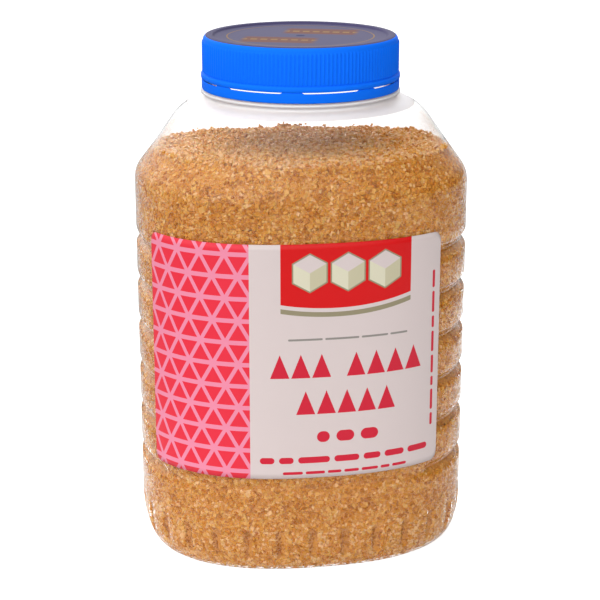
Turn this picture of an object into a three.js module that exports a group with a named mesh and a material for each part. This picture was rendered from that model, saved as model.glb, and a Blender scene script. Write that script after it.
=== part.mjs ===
// A clear PET storage jar shut with a wide screw lid, full of demerara sugar, with a label round its front.
//
// Units are millimetres and +Z is up. The origin is the middle of the base, on the surface that the jar
// stands on. The body is an oval in plan, wide along X, and its labelled face looks along -Y.

import * as THREE from "three";

// Plan of the body: a superellipse, which is a little squarer than an ellipse.
const HALF_WIDTH = 56.1;
const HALF_DEPTH = 46.3;
const PLAN_POWER = 2.4;
const COLUMNS = 60;
const FIRST_COLUMN = -3.3; // where the columns start along the plan, so that the flutes lie where they do

// Wall, and the gap that keeps neighbouring solids apart.
const WALL = 0.8;
const GAP = 0.3;

// Base: a pushed-up middle, a flat ring to stand on and an elliptical heel.
const HEEL_INSET = 4.9;
const HEEL_HEIGHT = 14.5;
const STANDING_RING = 4;
const PUSH_UP_RUN = 4;
const PUSH_UP_FOOT = 2.6;
const PUSH_UP_CENTRE = 4;

// Upright flutes pressed into the foot of the wall, two columns to a flute.
const FLUTE_DEPTH = 0.7;
const FLUTE_LOW = 5.3;
const FLUTE_HIGH = 15.6;
const FLUTE_RUN_OUT = 2.2;
const HEEL_ROUND = 2.6; // height of the section between the heel's foot and the flutes

// Level grip grooves round both ends of the oval, between the label's panel and a plain one at the back.
// The lowest runs on, shallow, below the panels.
const GROOVES = 6;
const GROOVE_LOWEST = 30.9;
const GROOVE_PITCH = 15.15;
const GROOVE_DEPTH = 2.4;
const GROOVE_HALF_HEIGHT = 3.2;
const BACK_PANEL_WIDTH = 84;
const PANEL_FADE = 6;
const LEDGE_SHARE = 0.25;

// Shoulder: an arc in to a straight cone, then a second arc that nearly lies level where it meets the neck.
const SHOULDER_LOW = 126.5;
const LOWER_RADIUS = 9;
const UPPER_RADIUS = 17;
const CONE_HEIGHT = 15.3;
const CONE_LEAN = THREE.MathUtils.degToRad(35);
const SHOULDER_END = THREE.MathUtils.degToRad(75);
const CORNER_HASTE = 3; // how much sooner than the rest the plan's corners turn round

// Neck, with a bead under the lid.
const NECK_RADIUS = 31.3;
const NECK_BORE = 29.7;
const NECK_ROOT = 32.3;
const NECK_BEAD = 33.5;
const BEAD_LOW = 155.6;
const BEAD_HIGH = 156.6;
const NECK_TOP = 172;

// Lid and the tamper band that hangs under it.
const LID_COLUMNS = 48;
const LID_TOP = 174.7;
const LID_LOW = 160.5;
const LID_RADIUS = 32.5;
const LID_DRAFT = 0.2;
const LID_EDGE = 1.3;
const LID_BEAD = 33.3;
const LID_BEAD_HIGH = 162.4;
const LID_BORE = 31.8;
const LID_RIM_WIDTH = 2.7;
const LID_RECESS = 0.7;
const LID_CEILING = 172.6;
const BAND_LOW = 157;
const BAND_HIGH = 160.1;
const BAND_RADIUS = 33.1;

// Sugar: its level, how it falls towards the back and climbs at the ends, and its grainy bumps.
const SUGAR_LEVEL = 137.3;
const SUGAR_FALL = 0.025;
const SUGAR_CLIMB = 1.6;
const SUGAR_RINGS = 7;
const BUMP_HEIGHT = 0.7;
const BUMP_SEED = 7;

// Label: its height, where its ends lie along the oval from the middle of the face, and its thickness.
const LABEL_LOW = 34.9;
const LABEL_HIGH = 114.7;
const LABEL_LEFT = -62.3;
const LABEL_RIGHT = 42;
const LABEL_CORNER = 3.2;
const LABEL_THICKNESS = 0.3;
const LABEL_CORNER_STEPS = 3;
const LABEL_SPANS = 26;

class Superellipse extends THREE.Curve {
  constructor(halfWidth, halfDepth, power) {
    super();
    this.halfWidth = halfWidth;
    this.halfDepth = halfDepth;
    this.exponent = 2 / power;
    this.arcLengthDivisions = 2400;
  }

  getPoint(t, target = new THREE.Vector3()) {
    const angle = 2 * Math.PI * t;
    const bend = (value) => Math.sign(value) * Math.abs(value) ** this.exponent;
    return target.set(this.halfWidth * bend(Math.cos(angle)), this.halfDepth * bend(Math.sin(angle)), 0);
  }
}

const plan = new Superellipse(HALF_WIDTH, HALF_DEPTH, PLAN_POWER);
const perimeter = plan.getLength();
const columnStarts = Array.from({ length: COLUMNS }, (_, column) => column / COLUMNS + FIRST_COLUMN / perimeter);
const columnParameters = columnStarts.map((start) => plan.getUtoTmapping((start + 1) % 1));

const LOWER_RISE = LOWER_RADIUS * Math.sin(CONE_LEAN);
const LOWER_DRAW = LOWER_RADIUS * (1 - Math.cos(CONE_LEAN));
const CONE_DRAW = CONE_HEIGHT * Math.tan(CONE_LEAN);

// How far the shoulder has drawn in at a height, and the cosine of its lean from the upright there.
function shoulderAt(z) {
  const rise = Math.max(0, z - SHOULDER_LOW);
  const onCone = rise - LOWER_RISE;
  const aboveCone = onCone - CONE_HEIGHT;
  if (onCone <= 0) {
    const cosine = Math.sqrt(1 - (rise / LOWER_RADIUS) ** 2);
    return { drawnIn: LOWER_RADIUS * (1 - cosine), cosine };
  }
  if (aboveCone <= 0) {
    return { drawnIn: LOWER_DRAW + onCone * Math.tan(CONE_LEAN), cosine: Math.cos(CONE_LEAN) };
  }
  const sine = Math.sin(CONE_LEAN) + aboveCone / UPPER_RADIUS;
  const cosine = Math.sqrt(1 - sine * sine);
  return { drawnIn: LOWER_DRAW + CONE_DRAW + UPPER_RADIUS * (Math.cos(CONE_LEAN) - cosine), cosine };
}

const coneLow = SHOULDER_LOW + LOWER_RISE;
const coneHigh = coneLow + CONE_HEIGHT;
const lowerArcHeight = (lean) => SHOULDER_LOW + LOWER_RADIUS * Math.sin(lean);
const upperArcHeight = (lean) => coneHigh + UPPER_RADIUS * (Math.sin(lean) - Math.sin(CONE_LEAN));
const SHOULDER_HIGH = upperArcHeight(SHOULDER_END);
const SHOULDER_DRAW = shoulderAt(SHOULDER_HIGH).drawnIn;
const NECK_MEETS = HALF_WIDTH - SHOULDER_DRAW;

// How far the heel has drawn in at a height, on a surface that lies `depth` inside the jar's outside.
function heelInset(z, depth) {
  const below = Math.max(0, HEEL_HEIGHT - z) / (HEEL_HEIGHT - depth);
  return (HEEL_INSET - depth) * (1 - Math.sqrt(Math.max(0, 1 - below * below)));
}

const grooveHeights = Array.from({ length: GROOVES }, (_, i) => GROOVE_LOWEST + i * GROOVE_PITCH);

// Depth of the grooves at a height, before they fade across the label panel.
function grooveDepth(z) {
  const away = Math.min(...grooveHeights.map((height) => Math.abs(z - height)));
  return GROOVE_DEPTH * Math.max(0, 1 - away / GROOVE_HALF_HEIGHT);
}

// The panels' middles and widths along the plan, from the middle of the front.
const panels = [
  { middle: (LABEL_LEFT + LABEL_RIGHT) / 2, width: LABEL_RIGHT - LABEL_LEFT },
  { middle: perimeter / 2, width: BACK_PANEL_WIDTH },
];

// Share of a groove's depth that is left at a column: all of it at the ends, and none or little on a panel.
function grooveShare(column, z) {
  const place = (columnStarts[column] - 0.75) * perimeter;
  const inside = panels.map(({ middle, width }) => {
    const away = Math.abs(THREE.MathUtils.euclideanModulo(place - middle + perimeter / 2, perimeter) - perimeter / 2);
    return width / 2 - away;
  });
  const onPanel = THREE.MathUtils.smoothstep(Math.max(...inside), 0, PANEL_FADE);
  const least = z < GROOVE_LOWEST + GROOVE_HALF_HEIGHT ? LEDGE_SHARE : 0;
  return 1 - (1 - least) * onPanel;
}

// Depth of the flutes at a height: every second column is pressed in.
function fluteDepth(z, column) {
  const inside = Math.min(z - FLUTE_LOW, FLUTE_HIGH - z) / FLUTE_RUN_OUT;
  return column % 2 ? FLUTE_DEPTH * THREE.MathUtils.clamp(inside, 0, 1) : 0;
}

// A point of the wall, on a surface that lies `depth` inside the jar's outside.
function wallPoint(column, z, depth) {
  const { drawnIn, cosine } = shoulderAt(z);
  const share = drawnIn / SHOULDER_DRAW;
  const dent = grooveDepth(z) * grooveShare(column, z) + fluteDepth(z, column);
  const inset = depth / cosine + heelInset(z, depth) + dent;
  const halfWidth = HALF_WIDTH - drawnIn - inset;
  const halfDepth = THREE.MathUtils.lerp(HALF_DEPTH, NECK_MEETS, share) - inset;
  const power = THREE.MathUtils.lerp(PLAN_POWER, 2, Math.min(1, CORNER_HASTE * share));
  const section = new Superellipse(halfWidth, halfDepth, power);
  return section.getPoint(columnParameters[column]).setZ(z);
}

// A point of the base, `inwards` from the standing ring's outer edge.
function basePoint(column, inwards, z) {
  const edge = HEEL_INSET + inwards;
  const section = new Superellipse(HALF_WIDTH - edge, HALF_DEPTH - edge, PLAN_POWER);
  return section.getPoint(columnParameters[column]).setZ(z);
}

// A point of the neck, which is round.
function neckPoint(column, radius, z) {
  return new Superellipse(radius, radius, 2).getPoint(columnParameters[column]).setZ(z);
}

// Splits each four-sided face of a lathed surface along its other diagonal.
function turnDiagonals(geometry) {
  const index = geometry.getIndex();
  for (let start = 0; start < index.count; start += 6) {
    const [a, b, d, c] = [0, 1, 2, 3].map((corner) => index.getX(start + corner));
    [a, b, c, a, c, d].forEach((vertex, corner) => index.setX(start + corner, vertex));
  }
}

// A solid whose sections are rings of points: each entry of `sections` gives the point for a column.
// A plain lathed tube is moved onto them. The first and last are single points on the axis, which close it.
function solidOfSections(sections) {
  const outline = sections.map((_, i) => new THREE.Vector2(1, i));
  const geometry = new THREE.LatheGeometry(outline, COLUMNS);
  const position = geometry.getAttribute("position");
  for (let index = 0; index < position.count; index += 1) {
    const column = Math.floor(index / sections.length) % COLUMNS;
    const point = sections[index % sections.length](column);
    position.setXYZ(index, point.x, point.y, point.z);
  }
  geometry.computeVertexNormals();
  return geometry;
}

const axisPoint = (z) => () => new THREE.Vector3(0, 0, z);
const wall = (z, depth) => (column) => wallPoint(column, z, depth);
const base = (inwards, z) => (column) => basePoint(column, inwards, z);
const neck = (radius, z) => (column) => neckPoint(column, radius, z);

// The floor from its middle out to the foot of the heel, on a surface `depth` inside the outside.
function floorSections(depth) {
  return [
    axisPoint(PUSH_UP_CENTRE + depth),
    base(STANDING_RING + PUSH_UP_RUN, PUSH_UP_FOOT + depth),
    base(STANDING_RING, depth),
  ];
}

// Heights of the heel and its flutes, from the foot of the heel up.
function heelHeights(depth) {
  return [depth, HEEL_ROUND, FLUTE_LOW, FLUTE_LOW + FLUTE_RUN_OUT, FLUTE_HIGH - FLUTE_RUN_OUT, FLUTE_HIGH];
}

// Each groove has its two edges and its bottom; inside the jar the land between two has only its middle.
const outerGrooves = grooveHeights.flatMap((z) => [z - GROOVE_HALF_HEIGHT, z, z + GROOVE_HALF_HEIGHT]);
const innerGrooves = grooveHeights.flatMap((z) => [z - GROOVE_PITCH / 2, z]);
const lastLand = GROOVE_LOWEST + (GROOVES - 0.5) * GROOVE_PITCH;

const upperLeans = [48, 60, 75].map(THREE.MathUtils.degToRad);
const shoulderHeights = [SHOULDER_LOW, lowerArcHeight(CONE_LEAN / 2), coneLow, (coneLow + coneHigh) / 2];
shoulderHeights.push(coneHigh, ...upperLeans.map(upperArcHeight));

// The jar: a thin shell, open at the top of its neck.
function jarGeometry() {
  const outside = [...heelHeights(0), ...outerGrooves, ...shoulderHeights].map((z) => wall(z, 0));
  const inside = [...heelHeights(WALL), ...innerGrooves, lastLand, ...shoulderHeights].map((z) =>
    wall(Math.min(z, SHOULDER_HIGH - WALL), WALL),
  );
  const neckOutside = [
    neck(NECK_ROOT, SHOULDER_HIGH + 0.7),
    neck(NECK_ROOT, BEAD_LOW - 0.3),
    neck(NECK_BEAD, BEAD_LOW),
    neck(NECK_BEAD, BEAD_HIGH),
    neck(NECK_RADIUS, BEAD_HIGH + 0.2),
    neck(NECK_RADIUS, NECK_TOP),
  ];
  const neckInside = [neck(NECK_BORE, NECK_TOP), neck(NECK_BORE, SHOULDER_HIGH + 0.4)];
  return solidOfSections([
    ...floorSections(0),
    ...outside,
    ...neckOutside,
    ...neckInside,
    ...inside.reverse(),
    ...floorSections(WALL).reverse(),
  ]);
}

// Height of the sugar's surface, which falls to the back and climbs at both ends of the oval.
function sugarLevel(x, y) {
  return SUGAR_LEVEL - SUGAR_FALL * y + SUGAR_CLIMB * (x / HALF_WIDTH) ** 2;
}

// A repeatable number from -1 to 1 for each ring and column.
function bump(ring, column) {
  const value = Math.sin((ring * COLUMNS + column + 1) * 12.9898 + BUMP_SEED) * 43758.5453;
  return 2 * (value - Math.floor(value)) - 1;
}

// The sugar, out to just inside the jar's wall and up to its own uneven surface.
function sugarGeometry() {
  const depth = WALL + GAP;
  const heights = [...heelHeights(depth), ...innerGrooves, lastLand, ...shoulderHeights.slice(0, 2)];
  const rim = (column) => {
    const near = wallPoint(column, SUGAR_LEVEL, depth);
    return wallPoint(column, sugarLevel(near.x, near.y), depth);
  };
  const surface = Array.from({ length: SUGAR_RINGS }, (_, i) => (column) => {
    const point = rim(column).multiplyScalar(1 - (i + 1) / (SUGAR_RINGS + 1));
    return point.setZ(sugarLevel(point.x, point.y) + BUMP_HEIGHT * bump(i, column));
  });
  const geometry = solidOfSections([
    ...floorSections(depth),
    ...heights.map((z) => wall(z, depth)),
    rim,
    ...surface,
    axisPoint(SUGAR_LEVEL),
  ]);
  turnDiagonals(geometry); // now they run as those of the jar's inside do, so the gap between stays even
  return geometry;
}

// A round solid from its half profile, given as [radius, height] pairs.
function turned(profile) {
  const points = profile.map(([radius, height]) => new THREE.Vector2(radius, height));
  return new THREE.LatheGeometry(points, LID_COLUMNS).rotateX(Math.PI / 2);
}

// The lid: a cap with a raised rim round its sunken top, a rounded edge and a bead at the skirt's foot.
function lidGeometry() {
  const rimInner = LID_RADIUS - LID_EDGE - LID_RIM_WIDTH;
  return turned([
    [0, LID_CEILING],
    [LID_BORE, LID_CEILING],
    [LID_BORE, LID_LOW],
    [LID_BEAD, LID_LOW],
    [LID_BEAD, LID_BEAD_HIGH - 0.4],
    [LID_RADIUS + LID_DRAFT, LID_BEAD_HIGH],
    [LID_RADIUS, LID_TOP - LID_EDGE],
    [LID_RADIUS - 0.3 * LID_EDGE, LID_TOP - 0.3 * LID_EDGE],
    [LID_RADIUS - LID_EDGE, LID_TOP],
    [rimInner + 1, LID_TOP - 0.1],
    [rimInner, LID_TOP - LID_RECESS],
    [0, LID_TOP - LID_RECESS],
  ]);
}

// The tamper band: a plain ring that hangs just under the skirt.
function bandGeometry() {
  return turned([
    [LID_BORE, BAND_LOW],
    [BAND_RADIUS - 0.3, BAND_LOW],
    [BAND_RADIUS, BAND_LOW + 0.3],
    [BAND_RADIUS, BAND_HIGH],
    [LID_BORE, BAND_HIGH],
    [LID_BORE, BAND_LOW],
  ]);
}

// Places along the label, closer together at its rounded corners.
function labelPlaces() {
  const share = (i) => (1 - Math.cos((i / LABEL_CORNER_STEPS) * (Math.PI / 2))) * LABEL_CORNER;
  const corner = Array.from({ length: LABEL_CORNER_STEPS }, (_, i) => share(i));
  const middle = Array.from({ length: LABEL_SPANS + 1 }, (_, i) =>
    THREE.MathUtils.lerp(LABEL_LEFT + LABEL_CORNER, LABEL_RIGHT - LABEL_CORNER, i / LABEL_SPANS),
  );
  const left = corner.map((step) => LABEL_LEFT + step);
  const right = corner.map((step) => LABEL_RIGHT - step).reverse();
  return [...left, ...middle, ...right];
}

// The label: a thin box bent along the oval, its corners rounded by shortening its end columns.
function labelGeometry() {
  const places = labelPlaces();
  const spans = places.length - 1;
  const faces = [GAP, GAP + LABEL_THICKNESS].map(
    (offset) => new Superellipse(HALF_WIDTH + offset, HALF_DEPTH + offset, PLAN_POWER),
  );
  const geometry = new THREE.BoxGeometry(spans, 1, 1, spans, 1, 1);
  const position = geometry.getAttribute("position");
  for (let index = 0; index < position.count; index += 1) {
    const place = places[Math.round(position.getX(index) + spans / 2)];
    const fromEnd = Math.min(place - LABEL_LEFT, LABEL_RIGHT - place, LABEL_CORNER);
    const cut = LABEL_CORNER - Math.sqrt(LABEL_CORNER ** 2 - (LABEL_CORNER - fromEnd) ** 2);
    const face = faces[position.getY(index) < 0 ? 1 : 0];
    const point = face.getPoint(plan.getUtoTmapping(0.75 + place / perimeter));
    const z = position.getZ(index) > 0 ? LABEL_HIGH - cut : LABEL_LOW + cut;
    position.setXYZ(index, point.x, point.y, z);
  }
  geometry.computeVertexNormals();
  return geometry;
}

// Colours and surfaces of the pieces.
const clearPet = new THREE.MeshStandardMaterial({
  color: 0xe8eef0,
  roughness: 0.08,
  metalness: 0,
  transparent: true,
  opacity: 0.3,
});
const bluePlastic = new THREE.MeshStandardMaterial({ color: 0x1c53d6, roughness: 0.4, metalness: 0 });
const brownSugar = new THREE.MeshStandardMaterial({ color: 0xc58c4e, roughness: 0.6, metalness: 0 });
const printedFilm = new THREE.MeshStandardMaterial({ color: 0xe2dcda, roughness: 0.35, metalness: 0 });

function piece(name, geometry, material) {
  const mesh = new THREE.Mesh(geometry, material);
  mesh.name = name;
  return mesh;
}

const group = new THREE.Group();
group.add(
  piece("jar", jarGeometry(), clearPet),
  piece("sugar", sugarGeometry(), brownSugar),
  piece("label", labelGeometry(), printedFilm),
  piece("lid", lidGeometry(), bluePlastic),
  piece("tamper_band", bandGeometry(), bluePlastic),
);

export default group;
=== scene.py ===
"""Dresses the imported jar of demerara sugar: blown PET, loose crystals, printed film and a moulded lid.

Lengths inside the classes are millimetres in the CAD frame, +Z up, the labelled face along -Y. Meshes are
turned to metres where they are made. A "place" is a distance along the jar's oval from the middle of its
labelled face, growing towards +X.
"""

from __future__ import annotations

import logging
import re
from dataclasses import dataclass, field
from enum import Enum

import bpy
import numpy as np
from bpy.types import Material, Node, NodeSocket, NodeTree, Object
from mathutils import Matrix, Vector

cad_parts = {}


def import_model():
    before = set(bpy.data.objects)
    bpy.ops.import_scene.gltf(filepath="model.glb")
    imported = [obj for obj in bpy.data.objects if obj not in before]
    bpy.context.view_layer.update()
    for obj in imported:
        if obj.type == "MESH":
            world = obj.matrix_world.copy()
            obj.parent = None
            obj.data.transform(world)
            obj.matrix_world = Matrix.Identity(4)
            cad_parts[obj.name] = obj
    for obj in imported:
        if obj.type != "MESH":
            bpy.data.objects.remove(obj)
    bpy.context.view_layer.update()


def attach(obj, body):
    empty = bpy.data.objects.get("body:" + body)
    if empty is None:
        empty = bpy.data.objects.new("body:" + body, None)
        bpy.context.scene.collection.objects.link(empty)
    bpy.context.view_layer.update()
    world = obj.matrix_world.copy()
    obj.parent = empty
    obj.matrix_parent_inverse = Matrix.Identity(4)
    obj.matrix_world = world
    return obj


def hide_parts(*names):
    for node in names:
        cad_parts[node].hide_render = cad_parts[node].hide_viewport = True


log = logging.getLogger("sugar_jar")

MM = 0.001
UP = np.array([0.0, 0.0, 1.0])
TRIANGLE_RISE = float(np.sqrt(0.75))  # an equal-sided triangle's height over its side

Colour = tuple[float, float, float, float]
Box = tuple[float, float, float, float]
Layers = list[tuple[Node, str]]


# ---------------------------------------------------------------------------------------------- helpers


def linear(code: str) -> Colour:
    """Turns an sRGB hex value to a linear colour.

    Args:
        code: Six hex digits, such as "C58C4E".

    Returns:
        Linear red, green, blue and an alpha of 1.
    """
    shares = [int(code[i : i + 2], 16) / 255 for i in (0, 2, 4)]
    values = [s / 12.92 if s <= 0.04045 else ((s + 0.055) / 1.055) ** 2.4 for s in shares]
    return (values[0], values[1], values[2], 1.0)


def add_node(tree: NodeTree, kind: str, inputs: dict | None = None, **settings: object) -> Node:
    """Adds a shader node, sets its properties, and fills or links its inputs.

    Args:
        tree: The node tree that gets it.
        kind: What follows "ShaderNode" in the node's type, such as "Math".
        inputs: For an input's name or number, its value, or what feeds it: an output, or a node, whose first
            output in use is meant.
        settings: The node's own properties.

    Returns:
        The new node.
    """
    node = tree.nodes.new(f"ShaderNode{kind}")
    for name, value in settings.items():
        setattr(node, name, value)
    for name, value in (inputs or {}).items():
        if isinstance(value, Node):
            value = next(output for output in value.outputs if output.enabled)
        if isinstance(value, NodeSocket):
            tree.links.new(value, node.inputs[name])
        else:
            node.inputs[name].default_value = value
    return node


def overlap(tree: NodeTree, *masks: Node) -> Node:
    """Finds where all of some masks lie over one another.

    Args:
        tree: The node tree.
        masks: Nodes that give 1 inside and 0 outside.

    Returns:
        A node that gives their product.
    """
    shared, *others = masks
    for mask in others:
        shared = add_node(tree, "Math", {0: shared, 1: mask}, operation="MULTIPLY")
    return shared


def overprint(tree: NodeTree, ground: Colour, layers: Layers) -> Node:
    """Prints inks over one another.

    Args:
        tree: The node tree.
        ground: The bare colour under them.
        layers: A mask for each ink and its hex colour, the lowest first.

    Returns:
        A node that gives the colours, with the inks laid over one another.
    """
    colours = ground
    for mask, ink in layers:
        colours = add_node(tree, "Mix", {0: mask, 6: colours, 7: linear(ink)}, data_type="RGBA")
    return colours


def new_material(name: str) -> tuple[Material, NodeTree]:
    """Makes an empty node material.

    Args:
        name: The material's name.

    Returns:
        The material and its cleared node tree.
    """
    material = bpy.data.materials.new(name)
    material.use_nodes = True
    material.node_tree.nodes.clear()
    return material, material.node_tree


def new_object(name: str, points: np.ndarray, faces: list[np.ndarray], smooth: bool) -> Object:
    """Makes a mesh object from arrays and links it to the scene.

    Args:
        name: The piece's name.
        points: Corners in millimetres, one row each.
        faces: Arrays of corner numbers, one for each number of sides.
        smooth: Whether the faces are shaded smooth.

    Returns:
        The new object, in metres.
    """
    mesh = bpy.data.meshes.new(name)
    corners = np.concatenate([part.ravel() for part in faces]).astype(np.int32)
    sides = np.concatenate([np.full(len(part), part.shape[1], np.int32) for part in faces])
    mesh.vertices.add(len(points))
    mesh.vertices.foreach_set("co", (points * MM).astype(np.float32).ravel())
    mesh.loops.add(len(corners))
    mesh.loops.foreach_set("vertex_index", corners)
    mesh.polygons.add(len(sides))
    mesh.polygons.foreach_set("loop_start", (np.cumsum(sides) - sides).astype(np.int32))
    mesh.polygons.foreach_set("loop_total", sides)
    mesh.polygons.foreach_set("use_smooth", np.full(len(sides), smooth))
    mesh.update(calc_edges=True)
    mesh.validate()
    piece = bpy.data.objects.new(name, mesh)
    bpy.context.scene.collection.objects.link(piece)
    return piece


def skin(rings: np.ndarray, first: np.ndarray | None = None, last: np.ndarray | None = None) -> tuple:
    """Joins a stack of closed rings into one surface.

    Args:
        rings: Points as (ring, column, 3), the rings in order, columns counter-clockwise from above.
        first: The point that closes the start, or None.
        last: The point that closes the end, or None to join the last ring to the first.

    Returns:
        The points and the list of face arrays.
    """
    count, columns = rings.shape[:2]
    here = np.arange(columns)
    ahead = np.roll(here, -1)
    starts = np.arange(count if last is None else count - 1)[:, None] * columns
    ends = (starts + columns) % (count * columns)
    quads = np.stack([starts + here, starts + ahead, ends + ahead, ends + here], -1)
    points = [rings.reshape(-1, 3)]
    faces = [quads.reshape(-1, 4)]
    if first is not None and last is not None:
        points += [first[None], last[None]]
        bottom = np.full(columns, count * columns)
        top = (count - 1) * columns
        faces.append(np.stack([bottom, ahead, here], -1))
        faces.append(np.stack([top + here, top + ahead, bottom + 1], -1))
    return np.concatenate(points), faces


def turned(profile: list[tuple[float, float]], angle: np.ndarray) -> np.ndarray:
    """Turns a half profile round the axis.

    Args:
        profile: Radii and heights. Either may be an array with one value for each column.
        angle: The columns' angles.

    Returns:
        Points as (ring, column, 3).
    """
    rings = [
        np.stack([radius * np.cos(angle), radius * np.sin(angle), np.broadcast_to(height, angle.shape)], -1)
        for radius, height in profile
    ]
    return np.stack(rings)


def smoothstep(value: np.ndarray, low: float, high: float) -> np.ndarray:
    """Goes smoothly from 0 at low to 1 at high."""
    share = np.clip((value - low) / (high - low), 0, 1)
    return share * share * (3 - 2 * share)


def dress(piece: Object, material: Material, nodes: tuple[str, ...] = ()) -> None:
    """Gives a piece its material and its place in the frame, and reports it.

    Args:
        piece: The new piece.
        material: Its main material.
        nodes: The CAD nodes that it stands for.
    """
    piece.data.materials.append(material)
    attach(piece, "root")
    if nodes:
        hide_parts(*nodes)
    log.info("%s: %d faces, %s", piece.name, len(piece.data.polygons), material.name)


# --------------------------------------------------------------------------------------------- finishes


@dataclass(frozen=True)
class Finish:
    """What the finishes share: one principled surface, for which each gives its own inputs."""

    @property
    def name(self) -> str:
        """The material's name: the finish's own, with underscores."""
        return re.sub("(?<!^)(?=[A-Z])", "_", type(self).__name__).lower()

    def surface(self, tree: NodeTree) -> dict:
        """Gives the surface's inputs.

        Args:
            tree: The material's node tree.

        Returns:
            Values and nodes, by the names of the inputs that they fill.
        """
        raise NotImplementedError

    def end(self, tree: NodeTree, surface: Node) -> None:
        """Ends the material with its surface."""
        add_node(tree, "OutputMaterial", {"Surface": surface})

    def material(self) -> Material:
        """Makes the material.

        Returns:
            The new material, which has the finish's name.
        """
        material, tree = new_material(self.name)
        self.end(tree, add_node(tree, "BsdfPrincipled", self.surface(tree)))
        return material


@dataclass(frozen=True)
class ClearFinish(Finish):
    """A finish that can be seen through. Light for what lies behind passes straight on, so it is noiseless."""

    tint: str

    def end(self, tree: NodeTree, surface: Node) -> None:
        """Ends the material with its surface for the eye, and plain tinted air for shadows and soft light.

        Args:
            tree: The material's node tree.
            surface: What the eye sees.
        """
        clear = add_node(tree, "BsdfTransparent", {"Color": linear(self.tint)})
        rays = add_node(tree, "LightPath").outputs
        either = {0: rays["Is Shadow Ray"], 1: rays["Is Diffuse Ray"]}
        passes = add_node(tree, "Math", either, operation="MAXIMUM")
        super().end(tree, add_node(tree, "MixShader", {0: passes, 1: surface, 2: clear}))


@dataclass(frozen=True)
class BlownPet(ClearFinish):
    """Polyethylene terephthalate, stretch-blown in a polished mould: clear, with a faint long ripple."""

    tint: str = "FEFEFE"
    roughness: float = 0.02
    ior: float = 1.31
    ripple_length: float = 16.0
    ripple_height: float = 0.02

    def surface(self, tree: NodeTree) -> dict:
        """Gives glass, with an index below PET's own, so that the sugar behind it shows unbent.

        Args:
            tree: The material's node tree.

        Returns:
            The surface's inputs.
        """
        place = add_node(tree, "TexCoord").outputs["Object"]
        scale = 1 / (self.ripple_length * MM)
        ripple = add_node(tree, "TexNoise", {"Vector": place, "Scale": scale, "Detail": 1.0})
        return {
            "Base Color": linear(self.tint),
            "Roughness": self.roughness,
            "IOR": self.ior,
            "Transmission Weight": 1.0,
            "Normal": add_node(tree, "Bump", {"Height": ripple, "Distance": self.ripple_height * MM}),
        }


@dataclass(frozen=True)
class MouldedPet(ClearFinish):
    """The same resin where it was only moulded, at the neck: thicker and a little milky, so it looks white."""

    tint: str = "F6F4F4"
    transmission: float = 0.55
    roughness: float = 0.4
    ior: float = 1.3

    def surface(self, tree: NodeTree) -> dict:
        """Gives milky plastic.

        Args:
            tree: The material's node tree.

        Returns:
            The surface's inputs.
        """
        return {
            "Base Color": linear(self.tint),
            "Roughness": self.roughness,
            "IOR": self.ior,
            "Transmission Weight": self.transmission,
        }


class CrystalTone(Enum):
    """Tones of raw cane crystals: the colour, and the share among those at the wall and among those on top. The
    shares on top lean to the pale tones, partly for drier loose grains and partly as painted light on the
    heap's top.
    """

    PALE = ("E4B47C", 0.06, 0.4)
    STRAW = ("DCA456", 0.19, 0.26)
    HONEY = ("D5953C", 0.205, 0.16)
    AMBER = ("CF8B2E", 0.205, 0.1)
    TOFFEE = ("C67F24", 0.205, 0.05)
    UMBER = ("B26C1A", 0.135, 0.03)

    def __init__(self, colour: str, pressed_share: float, loose_share: float) -> None:
        """Names the tone's three values.

        Args:
            colour: Its hex colour.
            pressed_share: Its share among the crystals against the wall and the floor.
            loose_share: Its share among the crystals on top.
        """
        self.colour = colour
        self.pressed_share = pressed_share
        self.loose_share = loose_share


@dataclass(frozen=True)
class CaneCrystal(Finish):
    """Raw cane sucrose, grown as hard blocks with a thin film of syrup: waxy faces with a soft gleam."""

    tone: CrystalTone
    roughness: float = 0.4
    ior: float = 1.54
    specular_level: float = 0.3
    scatter: float = 0.6
    scatter_length: float = 0.4
    scatter_by_colour: tuple[float, float, float] = (1.0, 0.6, 0.3)

    @property
    def name(self) -> str:
        """The material's name, with its tone."""
        return f"{super().name}_{self.tone.name.lower()}"

    def surface(self, tree: NodeTree) -> dict:
        """Gives a coloured, softly glossy surface that light enters a little way, red the furthest.

        Args:
            tree: The material's node tree.

        Returns:
            The surface's inputs.
        """
        return {
            "Base Color": linear(self.tone.colour),
            "Roughness": self.roughness,
            "IOR": self.ior,
            "Specular IOR Level": self.specular_level,
            "Subsurface Weight": self.scatter,
            "Subsurface Radius": self.scatter_by_colour,
            "Subsurface Scale": self.scatter_length * MM,
        }


@dataclass(frozen=True)
class PackedSugar(Finish):
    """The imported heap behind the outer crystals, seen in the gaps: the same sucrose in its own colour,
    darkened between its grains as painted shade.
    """

    deep: str = "C47C24"
    pale: str = "D49238"
    grain: float = 1.2
    relief: float = 0.4
    roughness: float = 0.55
    ior: float = 1.54

    def surface(self, tree: NodeTree) -> dict:
        """Gives cells the size of a grain, lighter at their middles and darker between them: painted shade
        between the grains.

        Args:
            tree: The material's node tree.

        Returns:
            The surface's inputs.
        """
        place = add_node(tree, "TexCoord").outputs["Object"]
        cells = add_node(tree, "TexVoronoi", {"Vector": place, "Scale": 1 / (self.grain * MM)})
        # Painted shade: the colour goes from pale at a cell's middle to deep at its edge, between the grains.
        shade = add_node(tree, "ValToRGB", {"Fac": cells})
        shade.color_ramp.elements[0].color = linear(self.pale)
        shade.color_ramp.elements[1].color = linear(self.deep)
        bump = add_node(tree, "Bump", {"Height": cells, "Distance": self.relief * MM}, invert=True)
        return {"Base Color": shade, "Roughness": self.roughness, "IOR": self.ior, "Normal": bump}


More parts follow.
